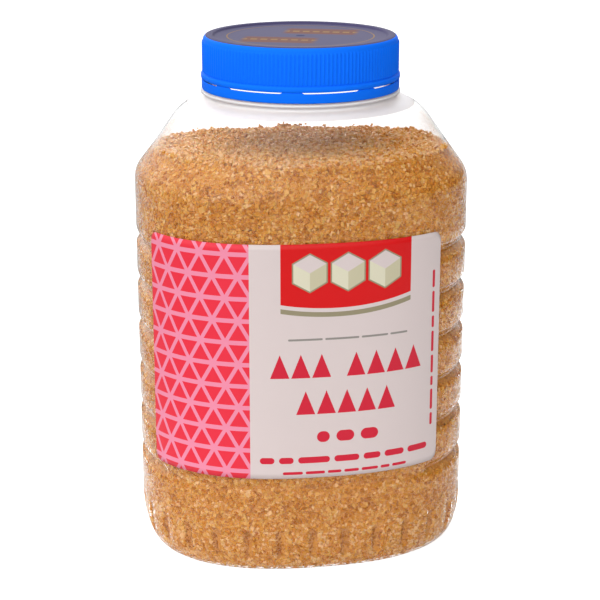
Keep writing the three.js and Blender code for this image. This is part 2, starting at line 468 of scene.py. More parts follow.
@dataclass(frozen=True)
class MouldedPolypropylene(Finish):
    """Polypropylene, injection moulded in a spark-eroded tool: a strong even blue with a dull gloss.

    The top is mauve grey: painted shade and sheen that make it dimmer and greyer than the lit blue. Over it
    lies a matt print:
    two bronze patches that each hold a row of gilt dashes, and a thin gilt ring round the gate's mark.
    """

    colour: str = "1073FF"
    mauve: str = "4B4768"
    bronze: str = "6A3E34"
    gilt: str = "8A6A38"
    gate_blue: str = "081450"
    # Where the top's painted shade and sheen, with the print over it, lie: above this height and within this
    # radius.
    print_low: float = 173.2
    print_radius: float = 31.7
    patch_heading: tuple[float, float, float] = (-0.32, -0.95, 0.0)
    patch_reach: tuple[float, float] = (3.5, 17.5)
    patch_half_width: float = 13.0
    patch_shift: float = 5.5
    patch_fade: float = 2.0
    dash_row: float = 10.0
    dash_half_width: float = 1.1
    dash_pitch: float = 3.4
    ring: float = 24.5
    ring_width: float = 0.4
    gate_radius: float = 1.5
    roughness: float = 0.5
    ior: float = 1.49
    specular_level: float = 0.02
    pit_width: float = 0.35
    pit_depth: float = 0.01
    pit_strength: float = 0.6

    def surface(self, tree: NodeTree) -> dict:
        """Gives coloured plastic with the fine pits that the tool leaves.

        Args:
            tree: The material's node tree.

        Returns:
            The surface's inputs.
        """
        place = add_node(tree, "TexCoord").outputs["Object"]
        scale = 1 / (self.pit_width * MM)
        pits = add_node(tree, "TexNoise", {"Vector": place, "Scale": scale, "Detail": 2.0})
        relief = {"Height": pits, "Distance": self.pit_depth * MM, "Strength": self.pit_strength}
        return {
            "Base Color": self.printed(tree, place),
            "Roughness": self.roughness,
            "IOR": self.ior,
            "Specular IOR Level": self.specular_level,
            "Normal": add_node(tree, "Bump", relief),
        }

    def printed(self, tree: NodeTree, place: NodeSocket) -> Node:
        """Colours the blue moulding and its top: mauve grey painted shade and sheen, with the print over it.

        Args:
            tree: The lid's node tree.
            place: Metres in the part's frame.

        Returns:
            The colours.
        """
        flat = add_node(tree, "VectorMath", {0: place, 1: (1 / MM, 1 / MM, 0.0)}, operation="MULTIPLY")
        radius = add_node(tree, "VectorMath", {0: flat}, operation="LENGTH")
        ring = add_node(tree, "Math", {0: radius, 1: self.ring, 2: self.ring_width / 2}, operation="COMPARE")
        gate = add_node(tree, "Math", {0: radius, 1: self.gate_radius}, operation="LESS_THAN")
        patches, dashes = self.patches(tree, flat)
        layers = [(patches, self.bronze), (dashes, self.gilt), (ring, self.gilt), (gate, self.gate_blue)]
        # The mauve grey ground is painted shade and sheen; the bronze and gilt layers over it are print, the
        # blue dot the gate's mark.
        ink = overprint(tree, linear(self.mauve), layers)
        height = add_node(tree, "SeparateXYZ", {0: place}).outputs["Z"]
        above = add_node(tree, "Math", {0: height, 1: self.print_low * MM}, operation="GREATER_THAN")
        within = add_node(tree, "Math", {0: radius, 1: self.print_radius}, operation="LESS_THAN")
        on_top = overlap(tree, above, within)
        return add_node(tree, "Mix", {0: on_top, 6: linear(self.colour), 7: ink}, data_type="RGBA")

    def patches(self, tree: NodeTree, flat: Node) -> tuple[Node, Node]:
        """Masks the two bronze patches, one on each side of the gate, and the row of dashes in each.

        Args:
            tree: The lid's node tree.
            flat: Millimetres from the lid's axis.

        Returns:
            The patches' mask, which fades at their edges, and the dashes'.
        """
        sideways = (-self.patch_heading[1], self.patch_heading[0], 0.0)
        ahead = add_node(tree, "VectorMath", {0: flat, 1: self.patch_heading}, operation="DOT_PRODUCT")
        across = add_node(tree, "VectorMath", {0: flat, 1: sideways}, operation="DOT_PRODUCT")
        side = add_node(tree, "Math", {0: ahead}, operation="SIGN")
        aside = add_node(tree, "Math", {0: side, 1: self.patch_shift, 2: across}, operation="MULTIPLY_ADD")
        distance = add_node(tree, "Math", {0: ahead}, operation="ABSOLUTE")
        off_middle = add_node(tree, "Math", {0: aside}, operation="ABSOLUTE")
        near, far = self.patch_reach
        edges = (
            (distance, near, near + self.patch_fade),
            (distance, far, far - self.patch_fade),
            (off_middle, self.patch_half_width, self.patch_half_width - self.patch_fade),
        )
        fades = [add_node(tree, "MapRange", {"Value": away, 1: low, 2: high}) for away, low, high in edges]
        patches = overlap(tree, *fades)
        row = {0: distance, 1: self.dash_row, 2: self.dash_half_width}
        in_row = add_node(tree, "Math", row, operation="COMPARE")
        beat = add_node(tree, "Math", {0: aside, 1: self.dash_pitch / 2}, operation="PINGPONG")
        on_dash = add_node(tree, "Math", {0: beat, 1: self.dash_pitch / 6}, operation="GREATER_THAN")
        return patches, overlap(tree, in_row, on_dash, patches)


@dataclass(frozen=True)
class FoamLiner(Finish):
    """The thin foam disc inside the lid: white, dull, and bright enough to throw light back on the heap."""

    colour: str = "F0EDE8"
    roughness: float = 0.85
    specular_level: float = 0.2

    def surface(self, tree: NodeTree) -> dict:
        """Gives plain white foam.

        Args:
            tree: The material's node tree.

        Returns:
            The surface's inputs.
        """
        return {
            "Base Color": linear(self.colour),
            "Roughness": self.roughness,
            "Specular IOR Level": self.specular_level,
        }


@dataclass(frozen=True)
class DashLine:
    """A broken line of the print, level or upright, in millimetres from the label's lower left corner."""

    start: float
    end: float
    low: float
    high: float
    dash: float
    gap: float
    ink: str
    upright: bool = False
    spread: tuple[float, float] = (0.6, 1.4)
    shortest: float = 1.0

    def dashes(self, rng: np.random.Generator) -> list[Box]:
        """Breaks the line into dashes of uneven length.

        Args:
            rng: The source of chance.

        Returns:
            Each dash's left, right, low and high.
        """
        boxes = []
        start = self.start
        while start < self.end - self.shortest:
            end = min(self.end, start + self.dash * rng.uniform(*self.spread))
            level = (start, end, self.low, self.high)
            boxes.append(level[2:] + level[:2] if self.upright else level)
            start = end + self.gap
        return boxes


@dataclass(frozen=True)
class Sheet:
    """The flat sheet that the print is drawn on: a node tree, and millimetres from the lower left corner."""

    tree: NodeTree
    place: Node

    def band(self, axis: str, least: float, most: float) -> Node:
        """Masks a band of the sheet.

        Args:
            axis: "X" for an upright band, and "Y" for a level one.
            least: Where it starts.
            most: Where it ends.

        Returns:
            1 inside the band.
        """
        where = add_node(self.tree, "SeparateXYZ", {0: self.place}).outputs[axis]
        past_least = add_node(self.tree, "Math", {0: where, 1: least}, operation="GREATER_THAN")
        before_most = add_node(self.tree, "Math", {0: where, 1: most}, operation="LESS_THAN")
        return overlap(self.tree, past_least, before_most)

    def bar(self, box: Box) -> Node:
        """Masks a bar with round ends.

        Args:
            box: Its left, right, low and high.

        Returns:
            1 inside the bar.
        """
        left, right, low, high = box
        centre = ((left + right) / 2, (low + high) / 2, 0.0)
        corner = min(right - left, high - low) / 2
        inner = ((right - left) / 2 - corner, (high - low) / 2 - corner, 0.0)
        shifted = add_node(self.tree, "VectorMath", {0: self.place, 1: centre}, operation="SUBTRACT")
        folded = add_node(self.tree, "VectorMath", {0: shifted}, operation="ABSOLUTE")
        past = add_node(self.tree, "VectorMath", {0: folded, 1: inner}, operation="SUBTRACT")
        beyond = add_node(self.tree, "VectorMath", {0: past, 1: (0.0, 0.0, 0.0)}, operation="MAXIMUM")
        away = add_node(self.tree, "VectorMath", {0: beyond}, operation="LENGTH")
        return add_node(self.tree, "Math", {0: away, 1: corner}, operation="LESS_THAN")

    def triangles(self, box: Box, slimness: float, half_foot: float) -> Node:
        """Masks a row of upright triangles, which fills a box.

        Args:
            box: Its left, right, low and high.
            slimness: The box's height over the triangles' pitch, before a whole number of them is fitted in.
            half_foot: Half a triangle's foot, as a share of their pitch.

        Returns:
            1 inside a triangle.
        """
        left, right, low, high = box
        width, height = right - left, high - low
        pitch = width / round(width / height * slimness)
        reach = half_foot * pitch
        shifted = add_node(self.tree, "VectorMath", {0: self.place, 1: (left, low, 0.0)}, operation="SUBTRACT")
        parted = add_node(self.tree, "SeparateXYZ", {0: shifted}).outputs
        centred = add_node(self.tree, "Math", {0: parted["X"], 1: pitch / 2}, operation="SUBTRACT")
        aside = add_node(self.tree, "Math", {0: centred, 1: pitch / 2, 2: -pitch / 2}, operation="WRAP")
        away = add_node(self.tree, "Math", {0: aside}, operation="ABSOLUTE")
        slope = {0: parted["Y"], 1: reach / height, 2: away}
        size = add_node(self.tree, "Math", slope, operation="MULTIPLY_ADD")
        within = add_node(self.tree, "Math", {0: size, 1: reach}, operation="LESS_THAN")
        return overlap(self.tree, within, self.band("X", left, right), self.band("Y", low, high))

    def lattice(self, crossing: tuple[float, float], side: float, line: float, finer: float) -> Node:
        """Masks the lines of a lattice of triangles, one set level and two slanting.

        Args:
            crossing: One point where its lines cross.
            side: The side of a triangle.
            line: The width of a level line.
            finer: How many times finer the slanting ones are.

        Returns:
            1 on the lines.
        """
        spacing = side * TRIANGLE_RISE
        distances = []
        for turn, share in ((0.0, 1.0), (np.pi / 3, finer), (-np.pi / 3, finer)):
            across = (-np.sin(turn), np.cos(turn), 0.0)
            origin = across[0] * crossing[0] + across[1] * crossing[1]
            along = add_node(self.tree, "VectorMath", {0: self.place, 1: across}, operation="DOT_PRODUCT")
            shifted = add_node(self.tree, "Math", {0: along, 1: origin}, operation="SUBTRACT")
            folded = add_node(self.tree, "Math", {0: shifted, 1: spacing}, operation="PINGPONG")
            other = add_node(self.tree, "Math", {0: spacing, 1: folded}, operation="SUBTRACT")
            away = add_node(self.tree, "Math", {0: folded, 1: other}, operation="MINIMUM")
            distances.append(add_node(self.tree, "Math", {0: away, 1: share}, operation="MULTIPLY"))
        nearest, *others = distances
        for away in others:
            nearest = add_node(self.tree, "Math", {0: nearest, 1: away}, operation="MINIMUM")
        return add_node(self.tree, "Math", {0: nearest, 1: line / 2}, operation="LESS_THAN")


@dataclass(frozen=True)
class PrintedFilm(Finish):
    """Polypropylene label film, with an offset print under a satin varnish: crisp flat inks on a cool white."""

    width: float
    height: float
    white: str = "D5C7C5"
    lattice_red: str = "E42C40"
    lattice_pink: str = "E98AA4"
    plaque_red: str = "D30408"
    mark_red: str = "CC1A34"
    cream: str = "D9D4BB"
    cream_shade: str = "C4BD9F"
    khaki: str = "938A6E"
    grey: str = "8F8A84"
    bleed: float = 1.0
    lattice_edge: float = 38.1
    lattice_crossing: tuple[float, float] = (4.6, 76.4)
    lattice_side: float = 8.53
    lattice_line: float = 1.5
    slant_finer: float = 1.18
    plaque_left: float = 48.1
    plaque_right: float = 91.7
    plaque_middle: float = 66.0
    plaque_foot: float = 61.5
    plaque_sag: float = 3.2
    stripe_below: float = 2.9
    stripe_gap: float = 1.3
    cube_middle: tuple[float, float, float] = (69.9, 70.2, 0.0)
    cube_count: int = 3
    cube_pitch: float = 12.4
    cube_radius: float = 5.3
    cube_outline: float = 0.45
    triangle_rows: tuple[Box, ...] = (
        (44.4, 64.8, 34.9, 43.0),
        (69.4, 96.6, 34.9, 43.0),
        (52.8, 86.8, 22.3, 30.4),
    )
    triangle_slimness: float = 1.2
    triangle_half_foot: float = 0.46
    dash_seed: int = 5
    roughness: float = 0.36
    ior: float = 1.49
    specular_level: float = 0.3

    def surface(self, tree: NodeTree) -> dict:
        """Gives satin film with its fields of colour.

        Args:
            tree: The material's node tree.

        Returns:
            The surface's inputs.
        """
        unwrapped = add_node(tree, "UVMap", uv_map="print")
        size = (self.width, self.height, 0)
        sheet = Sheet(tree, add_node(tree, "VectorMath", {0: unwrapped, 1: size}, operation="MULTIPLY"))
        layers = self.panel(sheet) + self.plaque(sheet) + self.cubes(sheet)
        layers += [(sheet.bar(box), ink) for box, ink in self.dashes()]
        for box in self.triangle_rows:
            triangles = sheet.triangles(box, self.triangle_slimness, self.triangle_half_foot)
            layers.append((triangles, self.mark_red))
        return {
            "Base Color": overprint(tree, linear(self.white), layers),
            "Roughness": self.roughness,
            "IOR": self.ior,
            "Specular IOR Level": self.specular_level,
        }

    def dashes(self) -> list[tuple[Box, str]]:
        """Lists the dashes of the print's broken lines, each with its ink."""
        rng = np.random.default_rng(self.dash_seed)
        lines = (
            DashLine(50.5, 90.7, 47.6, 48.3, dash=9.0, gap=0.815, ink=self.grey),
            DashLine(59.9, 80.6, 12.4, 16.2, dash=6.6, gap=2.21, ink=self.mark_red),
            DashLine(41.2, 99.6, 5.2, 7.4, dash=7.5, gap=1.49, ink=self.mark_red),
            DashLine(48.7, 92.8, 1.3, 2.3, dash=5.0, gap=0.95, ink=self.mark_red),
            DashLine(
                13.0, 67.1, 100.8, 101.9, dash=6.0, gap=1.2, ink=self.mark_red, upright=True, spread=(0.5, 1.3)
            ),
        )
        return [(box, line.ink) for line in lines for box in line.dashes(rng)]

    def panel(self, sheet: Sheet) -> Layers:
        """Draws the red panel at the label's left, with its pink lattice.

        Args:
            sheet: The flat label.

        Returns:
            The panel's layers.
        """
        inside = sheet.band("X", -self.bleed, self.lattice_edge)
        lines = sheet.lattice(self.lattice_crossing, self.lattice_side, self.lattice_line, self.slant_finer)
        return [(inside, self.lattice_red), (overlap(sheet.tree, lines, inside), self.lattice_pink)]

    def plaque(self, sheet: Sheet) -> Layers:
        """Draws the red plaque with a curved foot, and a khaki stripe along below it.

        Args:
            sheet: The flat label.

        Returns:
            The plaque's layers.
        """
        tree, half = sheet.tree, self.plaque_right - self.plaque_middle
        between = sheet.band("X", self.plaque_left, self.plaque_right)
        parted = add_node(tree, "SeparateXYZ", {0: sheet.place}).outputs
        aside = add_node(tree, "Math", {0: parted["X"], 1: self.plaque_middle}, operation="SUBTRACT")
        share = add_node(tree, "Math", {0: aside, 1: half}, operation="DIVIDE")
        square = add_node(tree, "Math", {0: share, 1: share}, operation="MULTIPLY")
        curve = {0: square, 1: self.plaque_sag, 2: self.plaque_foot - self.plaque_sag}
        edge = add_node(tree, "Math", curve, operation="MULTIPLY_ADD")
        above = add_node(tree, "Math", {0: parted["Y"], 1: edge}, operation="SUBTRACT")
        bands = ((-self.stripe_below, self.khaki), (-self.stripe_gap, self.white), (0.0, self.plaque_red))
        layers = []
        for least, ink in bands:
            over = add_node(tree, "Math", {0: above, 1: least}, operation="GREATER_THAN")
            layers.append((overlap(tree, over, between), ink))
        return layers

    def cubes(self, sheet: Sheet) -> Layers:
        """Draws a row of plain sugar cubes on the plaque, each a hexagon of three faces.

        Args:
            sheet: The flat label.

        Returns:
            The cubes' layers.
        """
        tree, pitch, radius = sheet.tree, self.cube_pitch, self.cube_radius
        shifted = add_node(tree, "VectorMath", {0: sheet.place, 1: self.cube_middle}, operation="SUBTRACT")
        parted = add_node(tree, "SeparateXYZ", {0: shifted}).outputs
        aside = add_node(tree, "Math", {0: parted["X"], 1: pitch / 2, 2: -pitch / 2}, operation="WRAP")
        away = add_node(tree, "Math", {0: aside}, operation="ABSOLUTE")
        height = add_node(tree, "Math", {0: parted["Y"]}, operation="ABSOLUTE")
        half = add_node(tree, "Math", {0: away, 1: 0.5}, operation="MULTIPLY")
        slant = add_node(tree, "Math", {0: height, 1: TRIANGLE_RISE, 2: half}, operation="MULTIPLY_ADD")
        size = add_node(tree, "Math", {0: away, 1: slant}, operation="MAXIMUM")
        reach = add_node(tree, "Math", {0: parted["X"]}, operation="ABSOLUTE")
        row = add_node(tree, "Math", {0: reach, 1: self.cube_count / 2 * pitch}, operation="LESS_THAN")
        fold = {0: away, 1: -0.5 / TRIANGLE_RISE, 2: parted["Y"]}
        lower = add_node(tree, "Math", fold, operation="MULTIPLY_ADD")
        below = add_node(tree, "Math", {0: lower, 1: 0.0}, operation="LESS_THAN")
        right = add_node(tree, "Math", {0: aside, 1: 0.0}, operation="GREATER_THAN")
        outlined = add_node(tree, "Math", {0: size, 1: radius + self.cube_outline}, operation="LESS_THAN")
        within = add_node(tree, "Math", {0: size, 1: radius}, operation="LESS_THAN")
        return [
            (overlap(tree, outlined, row), self.khaki),
            (overlap(tree, within, row), self.white),
            (overlap(tree, within, row, below), self.cream),
            (overlap(tree, within, row, below, right), self.cream_shade),
        ]


# -------------------------------------------------------------------------------------------- the body


class Fineness(Enum):
    """How close the wall's rings lie."""

    FINE = (9, 0.75, 5)
    COARSE = (6, 1.8, 3)

    def __init__(self, roll_rings: int, flute_step: float, groove_rings: int) -> None:
        """Names the three values.

        Args:
            roll_rings: Rings in the heel's roll.
            flute_step: Their distance over the flutes, in millimetres.
            groove_rings: Rings on each side of a groove's bottom.
        """
        self.roll_rings = roll_rings
        self.flute_step = flute_step
        self.groove_rings = groove_rings


@dataclass
class BodyForm:
    """The oval body that the jar, the sugar and the label share, and how each point of its wall is found."""

    half_width: float = 56.1
    half_depth: float = 46.3
    plan_power: float = 2.4
    plan_steps: int = 9600
    front_share: float = 0.75
    first_column: float = -3.3
    heel_inset: float = 4.9
    heel_height: float = 14.5
    standing_ring: float = 4.0
    push_up_run: float = 4.0
    push_up_foot: float = 2.6
    push_up_centre: float = 4.0
    flutes: int = 30
    flute_depth: float = 1.2
    flute_half_width: float = 1.9
    flute_low: float = 4.6
    flute_high: float = 16.0
    flute_roundness: float = 1.5
    grooves: int = 6
    groove_lowest: float = 30.9
    groove_pitch: float = 15.15
    groove_depth: float = 2.4
    groove_below: float = 2.6
    groove_above: float = 3.8
    groove_round: float = 0.12
    groove_sharpness: float = 1.35
    ledge_share: float = 0.25
    back_panel_width: float = 84.0
    panel_fade: float = 6.0
    shoulder_low: float = 126.5
    lower_radius: float = 9.0
    upper_radius: float = 17.0
    cone_height: float = 15.3
    cone_lean: float = float(np.radians(35))
    shoulder_end: float = float(np.radians(75))
    steepest_sine: float = 0.999
    corner_haste: float = 3.0
    label_low: float = 34.9
    label_high: float = 114.7
    label_left: float = -62.3
    label_right: float = 42.0
    roll_crowding: float = 2.2
    floor_roll_rings: int = 6
    land_rings: int = 5
    ring_margin: float = 0.4
    past_groove: tuple[float, float] = (2.5, 5.0)
    top_land: float = 10.0
    normal_step: float = 0.35
    normal_lowest: float = 0.01
    turns: np.ndarray = field(init=False)
    arcs: np.ndarray = field(init=False)
    perimeter: float = field(init=False)

    def __post_init__(self) -> None:
        """Measures the plan once, so that places can be turned to angles."""
        self.turns = np.linspace(0, 1, self.plan_steps + 1)
        outline = self.section(self.turns, self.half_width, self.half_depth, self.plan_power)
        steps = np.linalg.norm(np.diff(outline, axis=0), axis=1)
        self.arcs = np.concatenate([[0], np.cumsum(steps)])
        self.perimeter = float(self.arcs[-1])

    @staticmethod
    def section(
        turn: np.ndarray, half_width: np.ndarray, half_depth: np.ndarray, power: np.ndarray
    ) -> np.ndarray:
        """Finds points of a superellipse.

        Args:
            turn: Parameter from 0 to 1, from +X round by +Y.
            half_width: Half its size along X.
            half_depth: Half its size along Y.
            power: 2 for an ellipse, and more for a squarer one.

        Returns:
            X and Y, one row each.
        """
        angle = 2 * np.pi * turn
        across, along = np.cos(angle), np.sin(angle)
        x = half_width * np.sign(across) * np.abs(across) ** (2 / power)
        y = half_depth * np.sign(along) * np.abs(along) ** (2 / power)
        return np.stack([x, y], -1)

    def turn_at(self, place: np.ndarray) -> np.ndarray:
        """Turns a place along the plan to the plan's parameter."""
        from_side = place + self.front_share * self.perimeter
        return np.interp(from_side % self.perimeter, self.arcs, self.turns)

    @property
    def cone_low(self) -> float:
        """Height where the shoulder's cone starts."""
        return self.shoulder_low + self.lower_radius * float(np.sin(self.cone_lean))

    @property
    def cone_high(self) -> float:
        """Height where the shoulder's cone ends."""
        return self.cone_low + self.cone_height

    def upper_arc_height(self, lean: np.ndarray) -> np.ndarray:
        """Height at which the shoulder's upper arc leans by an angle."""
        return self.cone_high + self.upper_radius * (np.sin(lean) - np.sin(self.cone_lean))

    @property
    def shoulder_high(self) -> float:
        """Height where the shoulder ends."""
        return float(self.upper_arc_height(self.shoulder_end))

    @property
    def shoulder_draw(self) -> float:
        """How far the whole shoulder draws in."""
        return float(self.shoulder_at(np.array(self.shoulder_high))[0])

    def shoulder_at(self, z: np.ndarray) -> tuple[np.ndarray, np.ndarray]:
        """Finds how far the shoulder has drawn in at a height.

        Args:
            z: Heights.

        Returns:
            How far it has drawn in, and the cosine of its lean from the upright.
        """
        rise = np.maximum(0, z - self.shoulder_low)
        lower = np.sqrt(np.maximum(0.0, 1 - (np.minimum(rise, self.lower_radius) / self.lower_radius) ** 2))
        on_cone = rise - self.lower_radius * np.sin(self.cone_lean)
        lower_draw = self.lower_radius * (1 - np.cos(self.cone_lean))
        above = np.maximum(0, on_cone - self.cone_height)
        sine = np.minimum(self.steepest_sine, np.sin(self.cone_lean) + above / self.upper_radius)
        upper = np.sqrt(1 - sine * sine)
        cone_draw = np.minimum(on_cone, self.cone_height) * np.tan(self.cone_lean)
        upper_draw = self.upper_radius * (np.cos(self.cone_lean) - upper)
        drawn = np.where(
            on_cone <= 0, self.lower_radius * (1 - lower), lower_draw + cone_draw + np.maximum(0, upper_draw)
        )
        cosine = np.where(on_cone <= 0, lower, np.where(above > 0, upper, np.cos(self.cone_lean)))
        return drawn, cosine

    def heel_at(self, z: np.ndarray, depth: float) -> np.ndarray:
        """Finds how far the heel has drawn in.

        Args:
            z: Heights.
            depth: How far inside the outer surface.

        Returns:
            The inset at each height.
        """
        below = np.maximum(0, self.heel_height - z) / (self.heel_height - depth)
        return (self.heel_inset - depth) * (1 - np.sqrt(np.maximum(0, 1 - below * below)))

    def groove_heights(self) -> np.ndarray:
        """Heights of the grooves' bottoms."""
        return self.groove_lowest + self.groove_pitch * np.arange(self.grooves)

    def groove_at(self, place: np.ndarray, z: np.ndarray) -> np.ndarray:
        """Finds the grooves' depth: a sharp lip below each bottom, a softer roll above it.

        Args:
            place: Places along the plan.
            z: Heights.

        Returns:
            The depth at each point, faded under the label and over the panel behind.
        """
        away = z[..., None] - self.groove_heights()
        reach = np.where(away < 0, self.groove_below, self.groove_above)
        share = np.minimum(1, np.abs(away) / reach).min(-1)
        blunt = self.groove_round
        soft = (np.hypot(share, blunt) - blunt) / (np.hypot(1, blunt) - blunt)
        depth = self.groove_depth * (1 - soft) ** self.groove_sharpness
        half = self.perimeter / 2
        label = ((self.label_left + self.label_right) / 2, self.label_right - self.label_left)
        margins = [
            width / 2 - np.abs((place - middle + half) % self.perimeter - half)
            for middle, width in (label, (half, self.back_panel_width))
        ]
        on_panel = smoothstep(np.maximum(*margins), 0, self.panel_fade)
        least = np.where(z < self.groove_lowest + self.groove_above, self.ledge_share, 0)
        return depth * (1 - (1 - least) * on_panel)

    def flute_places(self) -> np.ndarray:
        """Places of the flutes' middles."""
        step = self.perimeter / self.flutes
        return (np.arange(self.flutes) + 0.5) * step + self.first_column - self.front_share * self.perimeter

    def flute_at(self, place: np.ndarray, z: np.ndarray) -> np.ndarray:
        """Finds the flutes' depth: upright dimples with round ends.

        Args:
            place: Places along the plan.
            z: Heights.

        Returns:
            The depth at each point.
        """
        step = self.perimeter / self.flutes
        aside = (place - self.flute_places()[0] + step / 2) % step - step / 2
        low, high = self.flute_low + self.flute_half_width, self.flute_high - self.flute_half_width
        past = np.maximum(0, np.maximum(low - z, z - high))
        share = np.minimum(1, np.hypot(aside, past) / self.flute_half_width)
        return self.flute_depth * (1 - share**2) ** self.flute_roundness

    def wall(self, place: np.ndarray, z: np.ndarray, depth: float) -> np.ndarray:
        """Finds points of the wall.

        Args:
            place: Places along the plan.
            z: Heights.
            depth: How far inside the outer surface.

        Returns:
            The points, one row each.
        """
        place, z = np.broadcast_arrays(np.asarray(place, float), np.asarray(z, float))
        flat = self.section(self.turn_at(place), *self.plan_at(place, z, depth))
        return np.concatenate([flat, z[..., None]], -1)

    def plan_at(self, place: np.ndarray, z: np.ndarray, depth: float) -> tuple:
        """Finds the plan's half sizes and its power.

        Args:
            place: Places along the plan.
            z: Heights.
            depth: How far inside the outer surface.

        Returns:
            The half width, the half depth and the power at each point.
        """
        drawn, cosine = self.shoulder_at(z)
        share = np.clip(drawn / self.shoulder_draw, 0, 1)
        dent = self.groove_at(place, z) + self.flute_at(place, z)
        inset = depth / cosine + self.heel_at(z, depth) + dent
        neck = self.half_width - self.shoulder_draw
        half_width = self.half_width - drawn - inset
        half_depth = self.half_depth + (neck - self.half_depth) * share - inset
        power = self.plan_power + (2 - self.plan_power) * np.minimum(1, self.corner_haste * share)
        return half_width, half_depth, power

    def held_inside(self, points: np.ndarray, place: np.ndarray, depth: float) -> np.ndarray:
        """Draws points that reach past the wall back into it.

        Args:
            points: The points, one row each.
            place: Their places along the plan.
            depth: The least depth inside the outer surface.

        Returns:
            The points.
        """
        z = np.maximum(points[..., 2], depth)
        half_width, half_depth, power = self.plan_at(place, z, depth)
        size = np.abs(points[..., 0] / half_width) ** power + np.abs(points[..., 1] / half_depth) ** power
        held = np.minimum(1, size ** (-1 / power))[..., None]
        return np.concatenate([points[..., :2] * held, z[..., None]], -1)

    def wall_normal(self, place: np.ndarray, z: np.ndarray) -> np.ndarray:
        """Finds the outward direction of the wall.

        Args:
            place: Places along the plan.
            z: Heights.

        Returns:
            Unit vectors, one row each.
        """
        step = self.normal_step
        below = np.maximum(z - step, self.normal_lowest)
        along = self.wall(place + step, z, 0) - self.wall(place - step, z, 0)
        upward = self.wall(place, z + step, 0) - self.wall(place, below, 0)
        normal = np.cross(along, upward)
        return normal / np.linalg.norm(normal, axis=-1, keepdims=True)

    def floor_rings(self, places: np.ndarray, depth: float, count: int) -> np.ndarray:
        """Finds the floor's rings, from near the middle out to the foot of the heel.

        Args:
            places: The columns' places.
            depth: How far inside the outer surface.
            count: How many rings the pushed-up middle has.

        Returns:
            Points as (ring, column, 3).
        """
        turn = self.turn_at(places)
        foot, standing = self.push_up_foot, self.heel_inset + self.standing_ring
        push_up = [
            (share, standing + self.push_up_run, foot + (self.push_up_centre - foot) * (1 - share**2))
            for share in np.linspace(0, 1, count + 1)[1:]
        ]
        roll = [
            (1.0, standing + self.push_up_run * (1 - share), foot * (1 - smoothstep(share, 0, 1)))
            for share in np.linspace(0, 1, self.floor_roll_rings + 1)[1:]
        ]
        rings = []
        for scale, edge, rise in push_up + roll:
            flat = scale * self.section(turn, self.half_width - edge, self.half_depth - edge, self.plan_power)
            rings.append(np.c_[flat, np.full(len(flat), rise + depth)])
        return np.stack(rings)

    def wall_heights(self, low: float, fineness: Fineness) -> np.ndarray:
        """Lists the heights of the wall's rings, closer where its form turns.

        Args:
            low: The lowest height.
            fineness: How close the rings lie.

        Returns:
            Heights from the foot up to the start of the shoulder.
        """
        grooves, margin = self.groove_heights(), self.ring_margin
        roll = np.linspace(0, 1, fineness.roll_rings) ** self.roll_crowding
        heights = [
            low + (self.flute_low - low) * roll,
            np.arange(self.flute_low, self.flute_high + margin, fineness.flute_step),
            np.linspace(self.flute_high + 2 * margin, self.groove_lowest - self.groove_below, self.land_rings),
            np.linspace(grooves[-1] + self.top_land, self.shoulder_low, self.land_rings),
        ]
        shares = np.linspace(0, 1, fineness.groove_rings + 1)
        for bottom in grooves:
            heights.append(bottom - self.groove_below * shares)
            heights.append(bottom + self.groove_above * shares)
            heights.append(bottom + self.groove_above + np.array(self.past_groove))
        ordered = np.unique(np.round(np.concatenate(heights), 3))
        return ordered[ordered >= low]

    def shoulder_heights(self, count: int) -> np.ndarray:
        """Lists the heights of the shoulder's rings.

        Args:
            count: How many each of its three stretches has.

        Returns:
            Heights above the wall's, up to the neck.
        """
        steps = np.linspace(0, 1, count + 1)[1:]
        lower = self.shoulder_low + self.lower_radius * np.sin(self.cone_lean * steps)
        cone = self.cone_low + self.cone_height * steps
        upper = self.upper_arc_height(self.cone_lean + (self.shoulder_end - self.cone_lean) * steps)
        return np.concatenate([lower, cone, upper])


